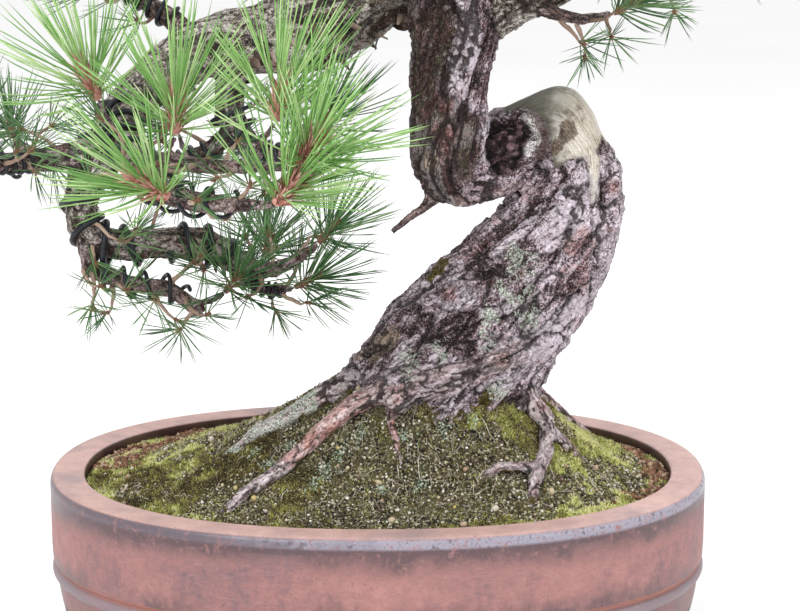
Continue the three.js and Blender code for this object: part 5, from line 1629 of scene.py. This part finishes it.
def overgrown(g, colour):
    """Olive moss and crusts of pale lichen, and the noise that the lichen breaks up by."""
    tufts = g.noise(g.spot, 520.0, 4, 0.72)
    moss = g.between(g.attribute("mossy") * 0.5 + tufts * 0.7, 0.66, 0.84)
    green = g.ramp(g.noise(g.spot, 900.0, 3, 0.7), [(0.36, (0.020, 0.016, 0.006)),
                                                    (0.5, (0.085, 0.066, 0.014)),
                                                    (0.62, (0.20, 0.15, 0.035)),
                                                    (0.76, (0.40, 0.29, 0.08))])
    colour = g.mix(moss, colour, green)
    ragged = g.noise(g.spot, 620.0, 4, 0.72)
    clumps = g.noise(g.spot, 130.0, 3, 0.6)
    lichen = g.between(g.attribute("lichen") * 0.28 + ragged * 0.75 + clumps * 0.45, 0.86, 0.93)
    crust = g.ramp(g.grit, [(0.38, (0.10, 0.125, 0.08)), (0.48, (0.40, 0.46, 0.37)),
                            (0.58, (0.80, 0.83, 0.75))])
    return g.mix(lichen * 0.9, colour, crust), ragged


def hollowed(g, colour, ragged):
    """The rotten hollow, with painted shade in its dips and a painted highlight on its lumps, the rolled bark
    at its edge and the pale fringe between them.
    """
    hollow = g.attribute("hollow")
    rot = g.ramp(g.noise(g.spot, 190.0, 4, 0.6) * 0.7 + g.grit * 0.3,
                 [(0.40, (0.006, 0.004, 0.004)), (0.50, (0.032, 0.017, 0.020)), (0.58, (0.13, 0.075, 0.085)),
                  (0.68, (0.34, 0.24, 0.26))])
    # Painted shade in the hollow's dips, and a painted highlight on its lumps.
    rot = g.mix(g.between(g.cavity, 0.05, 0.35), rot, (0.006, 0.004, 0.004))
    rot = g.mix(g.between(g.cavity * -1.0, 0.1, 0.5) * 0.6, rot, (0.24, 0.17, 0.18))
    colour = g.mix(g.between(hollow, 0.15, 0.6), colour, rot)
    roll = g.ramp(g.hair, [(0.34, (0.018, 0.011, 0.009)), (0.5, (0.080, 0.047, 0.040)),
                           (0.62, (0.22, 0.165, 0.15))])
    colour = g.mix(g.attribute("roll") * 0.85, colour, roll)
    fringe = g.attribute("fringe") * g.between(ragged + g.grit, 0.93, 1.02)
    return g.mix(fringe, colour, (0.76, 0.76, 0.72))


def smooth_wood(g):
    """Bare wood, olive at its left end and pale to the right, with painted shade in its hollows: its colour,
    and its fine lines.
    """
    lines = g.grain(0.9, 0.05, 5, 0.6, 0.3)
    patches = g.noise(g.spot, 42.0, 4, 0.6)
    x, _, z = g.axes(g.spot)
    lines = (lines + (g.grit - 0.5) * 0.5) * 0.62 + patches * 0.38
    wood = g.ramp(lines, [(0.34, (0.15, 0.122, 0.09)), (0.44, (0.42, 0.37, 0.30)), (0.54, (0.62, 0.57, 0.50)),
                          (0.68, (0.82, 0.79, 0.745))])
    wood = g.mix(g.between(patches, 0.5, 0.62) * 0.55, wood, (0.46, 0.435, 0.415))
    edge = float(world((OLIVE_WOOD_EDGE, 0, 0))[0])
    olive = g.between(x + (patches - 0.5) * 0.05, edge + 0.006, edge - 0.009)
    dark = g.ramp(lines, [(0.38, (0.018, 0.016, 0.010)), (0.5, (0.055, 0.050, 0.034)),
                          (0.6, (0.13, 0.12, 0.09)), (0.7, (0.26, 0.245, 0.20))])
    wood = g.mix(olive * 0.94, wood, dark)
    grey = g.between(z + patches * 0.03, 0.338, 0.352)
    wood = g.mix(grey * 0.5, wood, (0.25, 0.24, 0.20))
    wood = g.mix(olive * 0.5, wood, (0.075, 0.070, 0.050))
    rot = g.ramp(g.hair, [(0.4, (0.016, 0.009, 0.006)), (0.52, (0.09, 0.055, 0.035)),
                          (0.66, (0.30, 0.22, 0.15))])
    torn = g.between(g.attribute("torn") + (g.hair - 0.5) * 1.6, 0.4, 0.72)
    wood = g.mix(torn * 0.85, wood, rot)
    # Painted shade in the bare wood's hollows.
    return g.mix(g.between(g.cavity, 0.15, 0.6), wood, (0.03, 0.02, 0.014)), lines


def bark_material():
    g = Bark()
    plate_tone, scrap_tone, plate_gap, scrap_gap = bark_plates(g)
    tone, chips = bark_tone(g, plate_tone, scrap_tone)
    colour = old_bark(g, tone, plate_tone)
    warm = g.noise(g.spot, 34.0, 4, 0.65)
    colour = stained(g, colour, tone, plate_tone, warm)
    colour = roots_and_twigs(g, colour, warm)
    colour, fissure = cracked(g, colour, chips, plate_gap, scrap_gap)
    colour, ragged = overgrown(g, colour)
    colour = hollowed(g, colour, ragged)
    wood, lines = smooth_wood(g)
    colour = g.mix(g.bare, colour, wood)
    roughness = 0.9 - g.bare * 0.22
    height = (g.flake_height * 0.5 + g.hair * 0.9 - fissure * 1.2) * (1.0 - g.bare) + lines * 1.5 * g.bare
    normal = g.bump(height, 0.9, 0.75)
    normal = g.bump(g.noise(g.spot, 1100.0, 3, 0.7), 0.35, 0.25, normal)
    return g.finish(colour, roughness, normal)


# Sprays of needles

def spray_axis(node):
    """The shoot's foot and direction, its length and the needle tips of the model's spray."""
    points = coordinates(frame["nodes"][node].data)
    heart = np.median(points, axis=0)
    near = points[np.linalg.norm(points - heart, axis=1) < 0.015]
    heart = near.mean(axis=0)
    _, _, axes = np.linalg.svd(near - heart, full_matrices=False)
    direction = axes[0]
    far = points[np.linalg.norm(points - heart, axis=1) > 0.024]
    tips = np.unique(np.round(far, 4), axis=0)
    if direction.dot(tips.mean(axis=0) - heart) < 0:
        direction = -direction
    reach = (near - heart) @ direction
    foot = heart + direction * reach.min()
    return foot, direction, float(reach.max() - reach.min()), tips


def perpendicular(direction):
    side = np.cross(direction, (0.0, 0.0, 1.0) if abs(direction[2]) < 0.9 else (1.0, 0.0, 0.0))
    side = side / np.linalg.norm(side)
    return side, np.cross(direction, side)


def curved_needles(feet, ways, lengths, radius, bend, draw, rings):
    """Vertices and triangles of three-sided needles, and each vertex's share of the length."""
    count = len(feet)
    side = unit(np.cross(ways, draw.normal(size=ways.shape)))
    corners = circle(side, np.cross(ways, side), 3)
    vertices = np.empty((count, rings * 3 + 1, 3))
    for r in range(rings):
        t = r / rings
        middle = feet + ways * (lengths * t)[:, None] + bend * (lengths * t * t)[:, None]
        thick = radius * (1 - 0.25 * t) * (0.8 if r == 0 else 1)
        for k, out in enumerate(corners):
            vertices[:, r * 3 + k] = middle + out * thick
    vertices[:, -1] = feet + ways * lengths[:, None] + bend * lengths[:, None]
    last = (rings - 1) * 3
    faces = ring_triangles(rings, 3) + [(last + k, last + (k + 1) % 3, rings * 3) for k in range(3)]
    share = np.concatenate([np.repeat(np.arange(rings) / rings, 3), [1.0]])
    return vertices.reshape(-1, 3), repeated(faces, count, rings * 3 + 1), np.tile(share, count)


# A shoot's outline, as [share of the length, share of the radius]
SHOOT_PROFILE = [(0, 0.75), (0.15, 1.0), (0.5, 0.95), (0.8, 0.8), (0.94, 0.5), (1.0, 0.12)]
SHOOT_SIDES = 8
# The turn from each leaf or scale to the next, which spreads them evenly
GOLDEN_TURN = 2.399963


def scaly_shoot(foot, direction, length, radius, draw, scales, scale_length):
    """A shoot covered with small pointed scales that stand off it: vertices, triangles and tones."""
    side, other = perpendicular(direction)
    corners = circle(side, other, SHOOT_SIDES)
    vertices = [foot + direction * length * share + out * radius * width
                for share, width in SHOOT_PROFILE for out in corners]
    tones = [0.25] * len(vertices)
    triangles = ring_triangles(len(SHOOT_PROFILE), SHOOT_SIDES)
    for i in range(scales):
        share = 0.03 + 0.94 * (i + 0.5) / scales
        a = i * GOLDEN_TURN + draw.uniform(-0.25, 0.25)
        out = side * math.cos(a) + other * math.sin(a)
        across = -side * math.sin(a) + other * math.cos(a)
        width = radius * (1 if share < 0.8 else 0.6)
        lean = math.radians(draw.uniform(22, 68) * (1 - 0.45 * share))
        root = foot + direction * length * share + out * width * 0.75
        reach = scale_length * draw.uniform(0.65, 1.15)
        tip = root + (direction * math.cos(lean) + out * math.sin(lean)) * reach
        half = width * 0.4
        start = len(vertices)
        vertices += [root - across * half, root + across * half, tip,
                     root + out * half * 0.9 + direction * half]
        tones += [0.3, 0.3, draw.uniform(0.55, 1.0), 0.45]
        triangles += [(start, start + 1, start + 3), (start, start + 3, start + 2),
                      (start + 1, start + 2, start + 3)]
    return np.array(vertices), np.array(triangles), np.array(tones)


def needle_material(name, stops):
    g = Graph(name, 0.42, 0.35)
    share = g.attribute("share")
    colour = g.ramp(g.attribute("tone"), stops)
    colour = g.mix(g.between(share, 0.14, 0.0), colour, (0.36, 0.30, 0.12))
    colour = g.mix(g.between(share, 0.93, 1.0), colour, (0.36, 0.30, 0.12))
    streak = g.noise(g.place(), 300.0, 2, 0.5)
    colour = g.mix(g.between(streak, 0.5, 0.7) * 0.3, colour, (0.20, 0.34, 0.14))
    return g.finish(colour)


def scale_material(name, stops):
    g = Graph(name, 0.7, 0.25)
    fine = g.noise(g.place(), 500.0, 4, 0.6)
    value = g.attribute("tone") * 0.75 + fine * 0.3
    return g.finish(g.ramp(value, stops), None, g.bump(fine, 0.5, 0.4))


def tuft(foot, direction, length, reach, count, radius, draw, blockers,
         rings=5, widest=80, narrowest=16, lowest=-1):
    """Needles in pairs around a shoot: vertices, triangles, shares and tones. Needles that would run into
    wood or earth are turned away or left out, and those that would hang below the lowest slope are lifted."""
    side, other = perpendicular(direction)
    feet, ways, lengths, tones = [], [], [], []
    for i in range(count):
        share = (i + 0.5) / count
        start = foot + direction * length * (0.1 + 0.86 * share)
        for _ in range(8):
            turn = i * GOLDEN_TURN + draw.uniform(-0.5, 0.5)
            spread = math.radians(widest - (widest - narrowest) * share + draw.uniform(-16, 16))
            out = side * math.cos(turn) + other * math.sin(turn)
            way = direction * math.cos(spread) + out * math.sin(spread)
            if way[2] < lowest:
                way[2] = 2 * lowest - way[2] + draw.uniform(0, 0.4)
                way = way / np.linalg.norm(way)
            size = reach * draw.uniform(0.62, 1.04)
            begin = Vector(start + way * 0.003)
            if all(tree.ray_cast(begin, Vector(way), size)[0] is None for tree in blockers):
                break
        else:
            continue
        tone = draw.random()
        for k in (-1, 1):
            part = way + np.cross(way, out) * 0.045 * k + draw.normal(size=3) * 0.035
            feet.append(start + out * 0.0012)
            ways.append(part / np.linalg.norm(part))
            lengths.append(size * draw.uniform(0.94, 1.03))
            tones.append(np.clip(tone + draw.uniform(-0.15, 0.15), 0, 1))
    if not feet:
        return None
    feet, ways, lengths = np.array(feet), np.array(ways), np.array(lengths)
    bend = direction * 0.08 + np.array([0, 0, 0.04]) - ways * 0.04 + draw.normal(size=ways.shape) * 0.045
    vertices, triangles, share = curved_needles(feet, ways, lengths, radius, bend, draw, rings)
    return vertices, triangles, share, np.repeat(tones, rings * 3 + 1)


class Bundle:
    """Gathers pieces of mesh with their values and material numbers, and joins them into one object."""

    def __init__(self):
        self.vertices, self.triangles, self.slots = [], [], []
        self.values = {}
        self.count = 0

    def add(self, vertices, triangles, slot, **values):
        self.vertices.append(vertices)
        self.triangles.append(triangles + self.count)
        self.slots.append(np.full(len(triangles), slot, dtype=np.int32))
        for name, value in values.items():
            self.values.setdefault(name, []).append(np.broadcast_to(value, len(vertices)))
        self.count += len(vertices)

    def build(self, name, materials):
        obj = triangles_object(name, np.concatenate(self.vertices), np.concatenate(self.triangles))
        for key, value in self.values.items():
            set_attribute(obj.data, key, np.concatenate(value))
        for material in materials:
            obj.data.materials.append(material)
        obj.data.polygons.foreach_set("material_index", np.concatenate(self.slots))
        return obj


FRONT_SPRAYS = ("front_tip", "frontUpper_tip", "front_43", "front_44", "front_45", "frontUpper_46")
# How a spray looks: its pairs of needles, their radius and lowest slope, then the shoot's length as a share
# of the model's, its radius, its scales and their length, then the two materials. Lengths are in metres.
FRONT_LOOK = (56, 0.00052, -0.22), (1.4, 0.0034, 110, 0.0105), ("front", "front_shoot")
PLAIN_LOOK = (44, 0.00043, -0.75), (1.1, 0.0019, 34, 0.0036), ("back", "shoot")


def build_spray(node, blockers, materials):
    foot, direction, length, tips = spray_axis(node)
    look = FRONT_LOOK if node.removeprefix("spray_") in FRONT_SPRAYS else PLAIN_LOOK
    (pairs, needle_radius, lowest), (share, shoot_radius, scales, scale_length), names = look
    # Every spray draws from a seed that follows from its place.
    seed = int(abs(foot[0] * 7919 + foot[1] * 104729 + foot[2] * 1299709) * 1000) % 1000003
    draw = np.random.default_rng(seed)
    reach = float(np.median(np.linalg.norm(tips - (foot + direction * length * 0.5), axis=1)))
    bundle = Bundle()
    needles = tuft(foot, direction, length, reach, pairs, needle_radius, draw, blockers, lowest=lowest)
    bundle.add(needles[0], needles[1], 0, share=needles[2], tone=needles[3])
    shoot = scaly_shoot(foot, direction, length * share, shoot_radius, draw, scales, scale_length)
    bundle.add(shoot[0], shoot[1], 1, share=0.0, tone=shoot[2])
    return bundle.build(node + "_needles", [materials[name] for name in names])


# Small twigs with tufts, more than the model holds, as [limb, first share, last share, number]
TWIG_PLANS = [
    ("leftLimb", 0.60, 0.98, 13), ("lowerLeft", 0.15, 0.97, 9), ("lowerRight", 0.15, 0.95, 6),
    ("inner", 0.3, 0.97, 6), ("innerLeft", 0.15, 0.97, 5), ("front", 0.12, 0.97, 10),
    ("frontUpper", 0.1, 0.97, 7), ("outerLeft", 0.2, 0.97, 6), ("outerLeftFront", 0.2, 0.95, 3),
    ("outerLeftBack", 0.2, 0.95, 3), ("upperLeft", 0.3, 0.95, 4), ("right", 0.35, 0.97, 6),
    ("rightFront", 0.3, 0.95, 3), ("rightLow", 0.3, 0.95, 4), ("rightBack", 0.3, 0.95, 3),
    ("back", 0.4, 0.95, 3), ("crownFront", 0.3, 0.95, 4), ("crownLeft", 0.3, 0.95, 4),
    ("crownRight", 0.3, 0.95, 3), ("humpFront", 0.3, 0.95, 4), ("leftBack", 0.3, 0.95, 3),
]


TWIG_STEPS = 6
# The bud's length and radius in metres, its scales and their length, and the tuft's pairs and needle radius
BUD = (0.005, 0.0011)
BUD_SCALES = (14, 0.0024)
TUFT_PAIRS = 11
TUFT_NEEDLE_RADIUS = 0.00036


def build_twigs(blockers, materials):
    draw = np.random.default_rng(5)
    wood = Bundle()
    green = Bundle()
    for name, first, last, number in TWIG_PLANS:
        limb = limbs[name]
        for i in range(number):
            share = first + (last - first) * (i + draw.uniform(0.1, 0.9)) / number
            centre, radius, tangent, normal, side = limb.at(share)
            angle = draw.uniform(0, 2 * math.pi)
            out = normal * math.cos(angle) + side * math.sin(angle)
            heading = unit(out * 0.9 + tangent * 0.5 + draw.normal(size=3) * 0.25 + (0, 0, 0.15))
            length = draw.uniform(10, 26)
            at = centre + out * radius * 0.6
            path = []
            for _ in range(TWIG_STEPS):
                path.append(at)
                at = at + heading * length / (TWIG_STEPS - 1)
                heading = unit(heading + draw.normal(size=3) * 0.28 + (0, 0, 0.05))
            path = np.array(path)
            thick = np.linspace(min(1.5, radius * 0.5), 0.75, TWIG_STEPS)
            thick = thick * draw.uniform(0.85, 1.15, TWIG_STEPS)
            vertices, triangles = tubes(path[None], thick[None], 6)
            wood.add(world(vertices), triangles, 0, tone=draw.uniform(0.3, 0.7))
            foot = world(path[-1])
            bud = scaly_shoot(foot, heading, *BUD, draw, *BUD_SCALES)
            wood.add(bud[0], bud[1], 1, tone=bud[2])
            reach = draw.uniform(0.020, 0.034)
            needles = tuft(foot, heading, 0.004, reach, TUFT_PAIRS, TUFT_NEEDLE_RADIUS, draw, blockers,
                           rings=3, widest=75, narrowest=20)
            if needles is not None:
                green.add(needles[0], needles[1], 0, share=needles[2], tone=needles[3])
    return (wood.build("small_twigs", [materials["twig"], materials["shoot"]]),
            green.build("small_tufts", [materials["back"]]))


# Training wire beyond the four coils of the model, as [limb, first share, last share, turns, radius]
WIRE_PLANS = [
    ("leftLimb", 0.50, 0.585, 2, 1.9), ("leftLimb", 0.63, 0.75, 3.5, 1.9), ("leftLimb", 0.785, 0.87, 3, 1.7),
    ("front", 0.14, 0.42, 3.5, 1.7), ("innerLeft", 0.2, 0.75, 4, 1.2), ("lowerRight", 0.3, 0.85, 5, 1.1),
    ("inner", 0.68, 0.9, 3, 1.3), ("outerLeftFront", 0.3, 0.85, 4, 1.2), ("upperLeft", 0.35, 0.8, 4, 1.3),
]
WIRE_STEPS = 26
# From how far outside a limb's radius its real skin is looked for, and the most that a coil stands off
WIRE_PROBE = 6
WIRE_STANDOFF = 2.5


def build_wires(tree):
    wires = []
    for number, (name, first, last, turns, radius) in enumerate(WIRE_PLANS):
        limb = limbs[name]
        steps = int(turns * WIRE_STEPS)
        s = np.linspace(first, last, steps + 1) * limb.along[-1]
        frames = [np.column_stack([np.interp(s, limb.along, part[:, k]) for k in range(3)])
                  for part in (limb.centres, limb.normals, limb.sides)]
        radii = np.interp(s, limb.along, limb.radii)
        angle = np.linspace(0, turns * 2 * math.pi, steps + 1) + number
        out = unit(frames[1] * np.cos(angle)[:, None] + frames[2] * np.sin(angle)[:, None])
        reach = radii.copy()
        for i in range(steps + 1):
            outside = radii[i] + WIRE_PROBE
            start = world(frames[0][i] + out[i] * outside)
            hit = tree.ray_cast(Vector(start), Vector(-out[i]), outside * MM)
            if hit[0] is not None:
                reach[i] = outside - hit[3] / MM
        reach = np.minimum(reach, radii + WIRE_STANDOFF)
        widest = np.max([np.roll(reach, k) for k in range(-2, 3)], axis=0)
        widest[:2], widest[-2:] = reach[:2], reach[-2:]
        smooth = np.convolve(np.pad(widest, 3, "edge"), np.ones(7) / 7, "valid")
        path = frames[0] + out * (smooth + radius * 0.9)[:, None]
        vertices, triangles = tubes(path[None], np.full((1, steps + 1), radius), 8)
        wire = triangles_object(f"wire_coil_{number}", world(vertices), triangles)
        wires.append(wire)
    return wires


def wire_material():
    g = Graph("training_wire", 0.45, 0.5)
    g.feed(g.shader, {"Metallic": 0.35})
    wear = g.noise(g.place(), 220.0, 4, 0.6)
    colour = g.ramp(wear, [(0.35, (0.010, 0.011, 0.015)), (0.6, (0.022, 0.024, 0.032)),
                           (0.8, (0.085, 0.085, 0.095))])
    return g.finish(colour, None, g.bump(wear, 0.2, 0.3))


def screen_material():
    g = Graph("screen_plastic", 0.6, 0.4)
    wear = g.noise(g.place(), 150.0, 3, 0.6)
    colour = g.ramp(wear, [(0.3, (0.01, 0.01, 0.011)), (0.7, (0.03, 0.03, 0.032))])
    return g.finish(colour, None, g.bump(wear, 0.2, 0.3))


def bvh_of(obj):
    return BVHTree.FromObject(obj, bpy.context.evaluated_depsgraph_get())


def settle(piece, slot, *nodes):
    """Lets a finished piece ride the part's one body, and hides the nodes that it replaces."""
    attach(piece, "root")
    if nodes:
        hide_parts(*nodes)


pot = build_pot()
paint(pot, pot_material())
settle(pot, "pot", "pot")

soil = build_soil()
paint(soil, soil_material())
settle(soil, "soil", "soil")

tree = build_trunk()
dress_trunk(tree)
paint(tree, bark_material())
settle(tree, "bark", "trunk")
flakes = build_flakes(tree)
paint(flakes, toned_material("loose_scale", [(0.0, (0.022, 0.015, 0.012)), (0.35, (0.10, 0.066, 0.050)),
                                             (0.65, (0.28, 0.205, 0.165)), (1.0, (0.58, 0.49, 0.44))]))
settle(flakes, "bark")

bpy.context.view_layer.update()
obstacles = (bvh_of(tree), bvh_of(soil), bvh_of(pot))
for build in GROUND_COVER:
    settle(build(obstacles[0]), "soil")

spray_materials = {
    "front": needle_material("bright_needles", [(0.0, (0.13, 0.31, 0.07)), (0.5, (0.28, 0.52, 0.15)),
                                                (1.0, (0.57, 0.74, 0.36))]),
    "back": needle_material("green_needles", [(0.0, (0.030, 0.095, 0.035)), (0.5, (0.075, 0.19, 0.06)),
                                              (1.0, (0.20, 0.33, 0.14))]),
    "shoot": scale_material("brown_shoot", [(0.15, (0.11, 0.055, 0.04)), (0.5, (0.34, 0.17, 0.12)),
                                            (0.9, (0.62, 0.42, 0.33))]),
    "front_shoot": scale_material("pink_shoot", [(0.15, (0.35, 0.16, 0.13)), (0.45, (0.64, 0.31, 0.25)),
                                                 (0.75, (0.78, 0.48, 0.41)), (0.95, (0.86, 0.69, 0.62))]),
    "twig": scale_material("twig_bark", [(0.2, (0.12, 0.07, 0.05)), (0.5, (0.38, 0.26, 0.20)),
                                         (0.8, (0.60, 0.46, 0.38))]),
}
spray_nodes = sorted(name for name in frame["nodes"] if name.startswith("spray_"))
for node in spray_nodes:
    settle(build_spray(node, obstacles, spray_materials), "needles", node)
twigs, tufts = build_twigs(obstacles, spray_materials)
settle(twigs, "bark")
settle(tufts, "needles")

wire_finish = wire_material()
screen_finish = screen_material()
for wire in build_wires(obstacles[0]):
    paint(wire, wire_finish)
    settle(wire, "wire")
for name, obj in frame["nodes"].items():
    if name.startswith("wire_"):
        paint(obj, wire_finish)
        weld = obj.modifiers.new("weld", "WELD")
        weld.merge_threshold = 0.00001
        rounding = obj.modifiers.new("round", "SUBSURF")
        rounding.levels = 2
        rounding.render_levels = 2
    elif name.startswith("drain_"):
        paint(obj, screen_finish)


# Floor, light and background
FLOOR_REACH = 12
floor_corners = [(x * FLOOR_REACH, y * FLOOR_REACH, 0) for x, y in ((-1, -1), (1, -1), (1, 1), (-1, 1))]
floor = new_object("floor", mesh_from("floor", floor_corners, [(0, 1, 2, 3)]))
floor.location.z = -0.2 * MM
floor_graph = Graph("pale_floor", 0.9, 0.1)
floor_tint = floor_graph.noise(floor_graph.place(), 3.0, 2, 0.5)
paint(floor, floor_graph.finish(floor_graph.ramp(floor_tint, [(0.3, (0.90,) * 3), (0.7, (0.92,) * 3)])))

studio = bpy.data.worlds.new("studio")
bpy.context.scene.world = studio
studio.use_nodes = True
backdrop = studio.node_tree.nodes["Background"].inputs
backdrop["Color"].default_value = (1.0, 1.0, 1.0, 1.0)
backdrop["Strength"].default_value = 1.02


def add_light(name, place, target, size, power):
    light = bpy.data.lights.new(name, "AREA")
    light.shape = "SQUARE"
    light.size = size
    light.energy = power
    obj = new_object(name, light)
    obj.location = Vector(place)
    obj.rotation_euler = (Vector(target) - Vector(place)).to_track_quat("-Z", "Y").to_euler()


HEART = (0.0, 0.0, 0.25)
add_light("key", (-0.8, -1.2, 1.6), HEART, 0.7, 20)
add_light("fill", (1.4, -0.9, 1.0), HEART, 1.0, 8)
add_light("back", (0.5, 1.4, 1.6), HEART, 1.0, 10)

bpy.context.scene.view_settings.view_transform = "Standard"
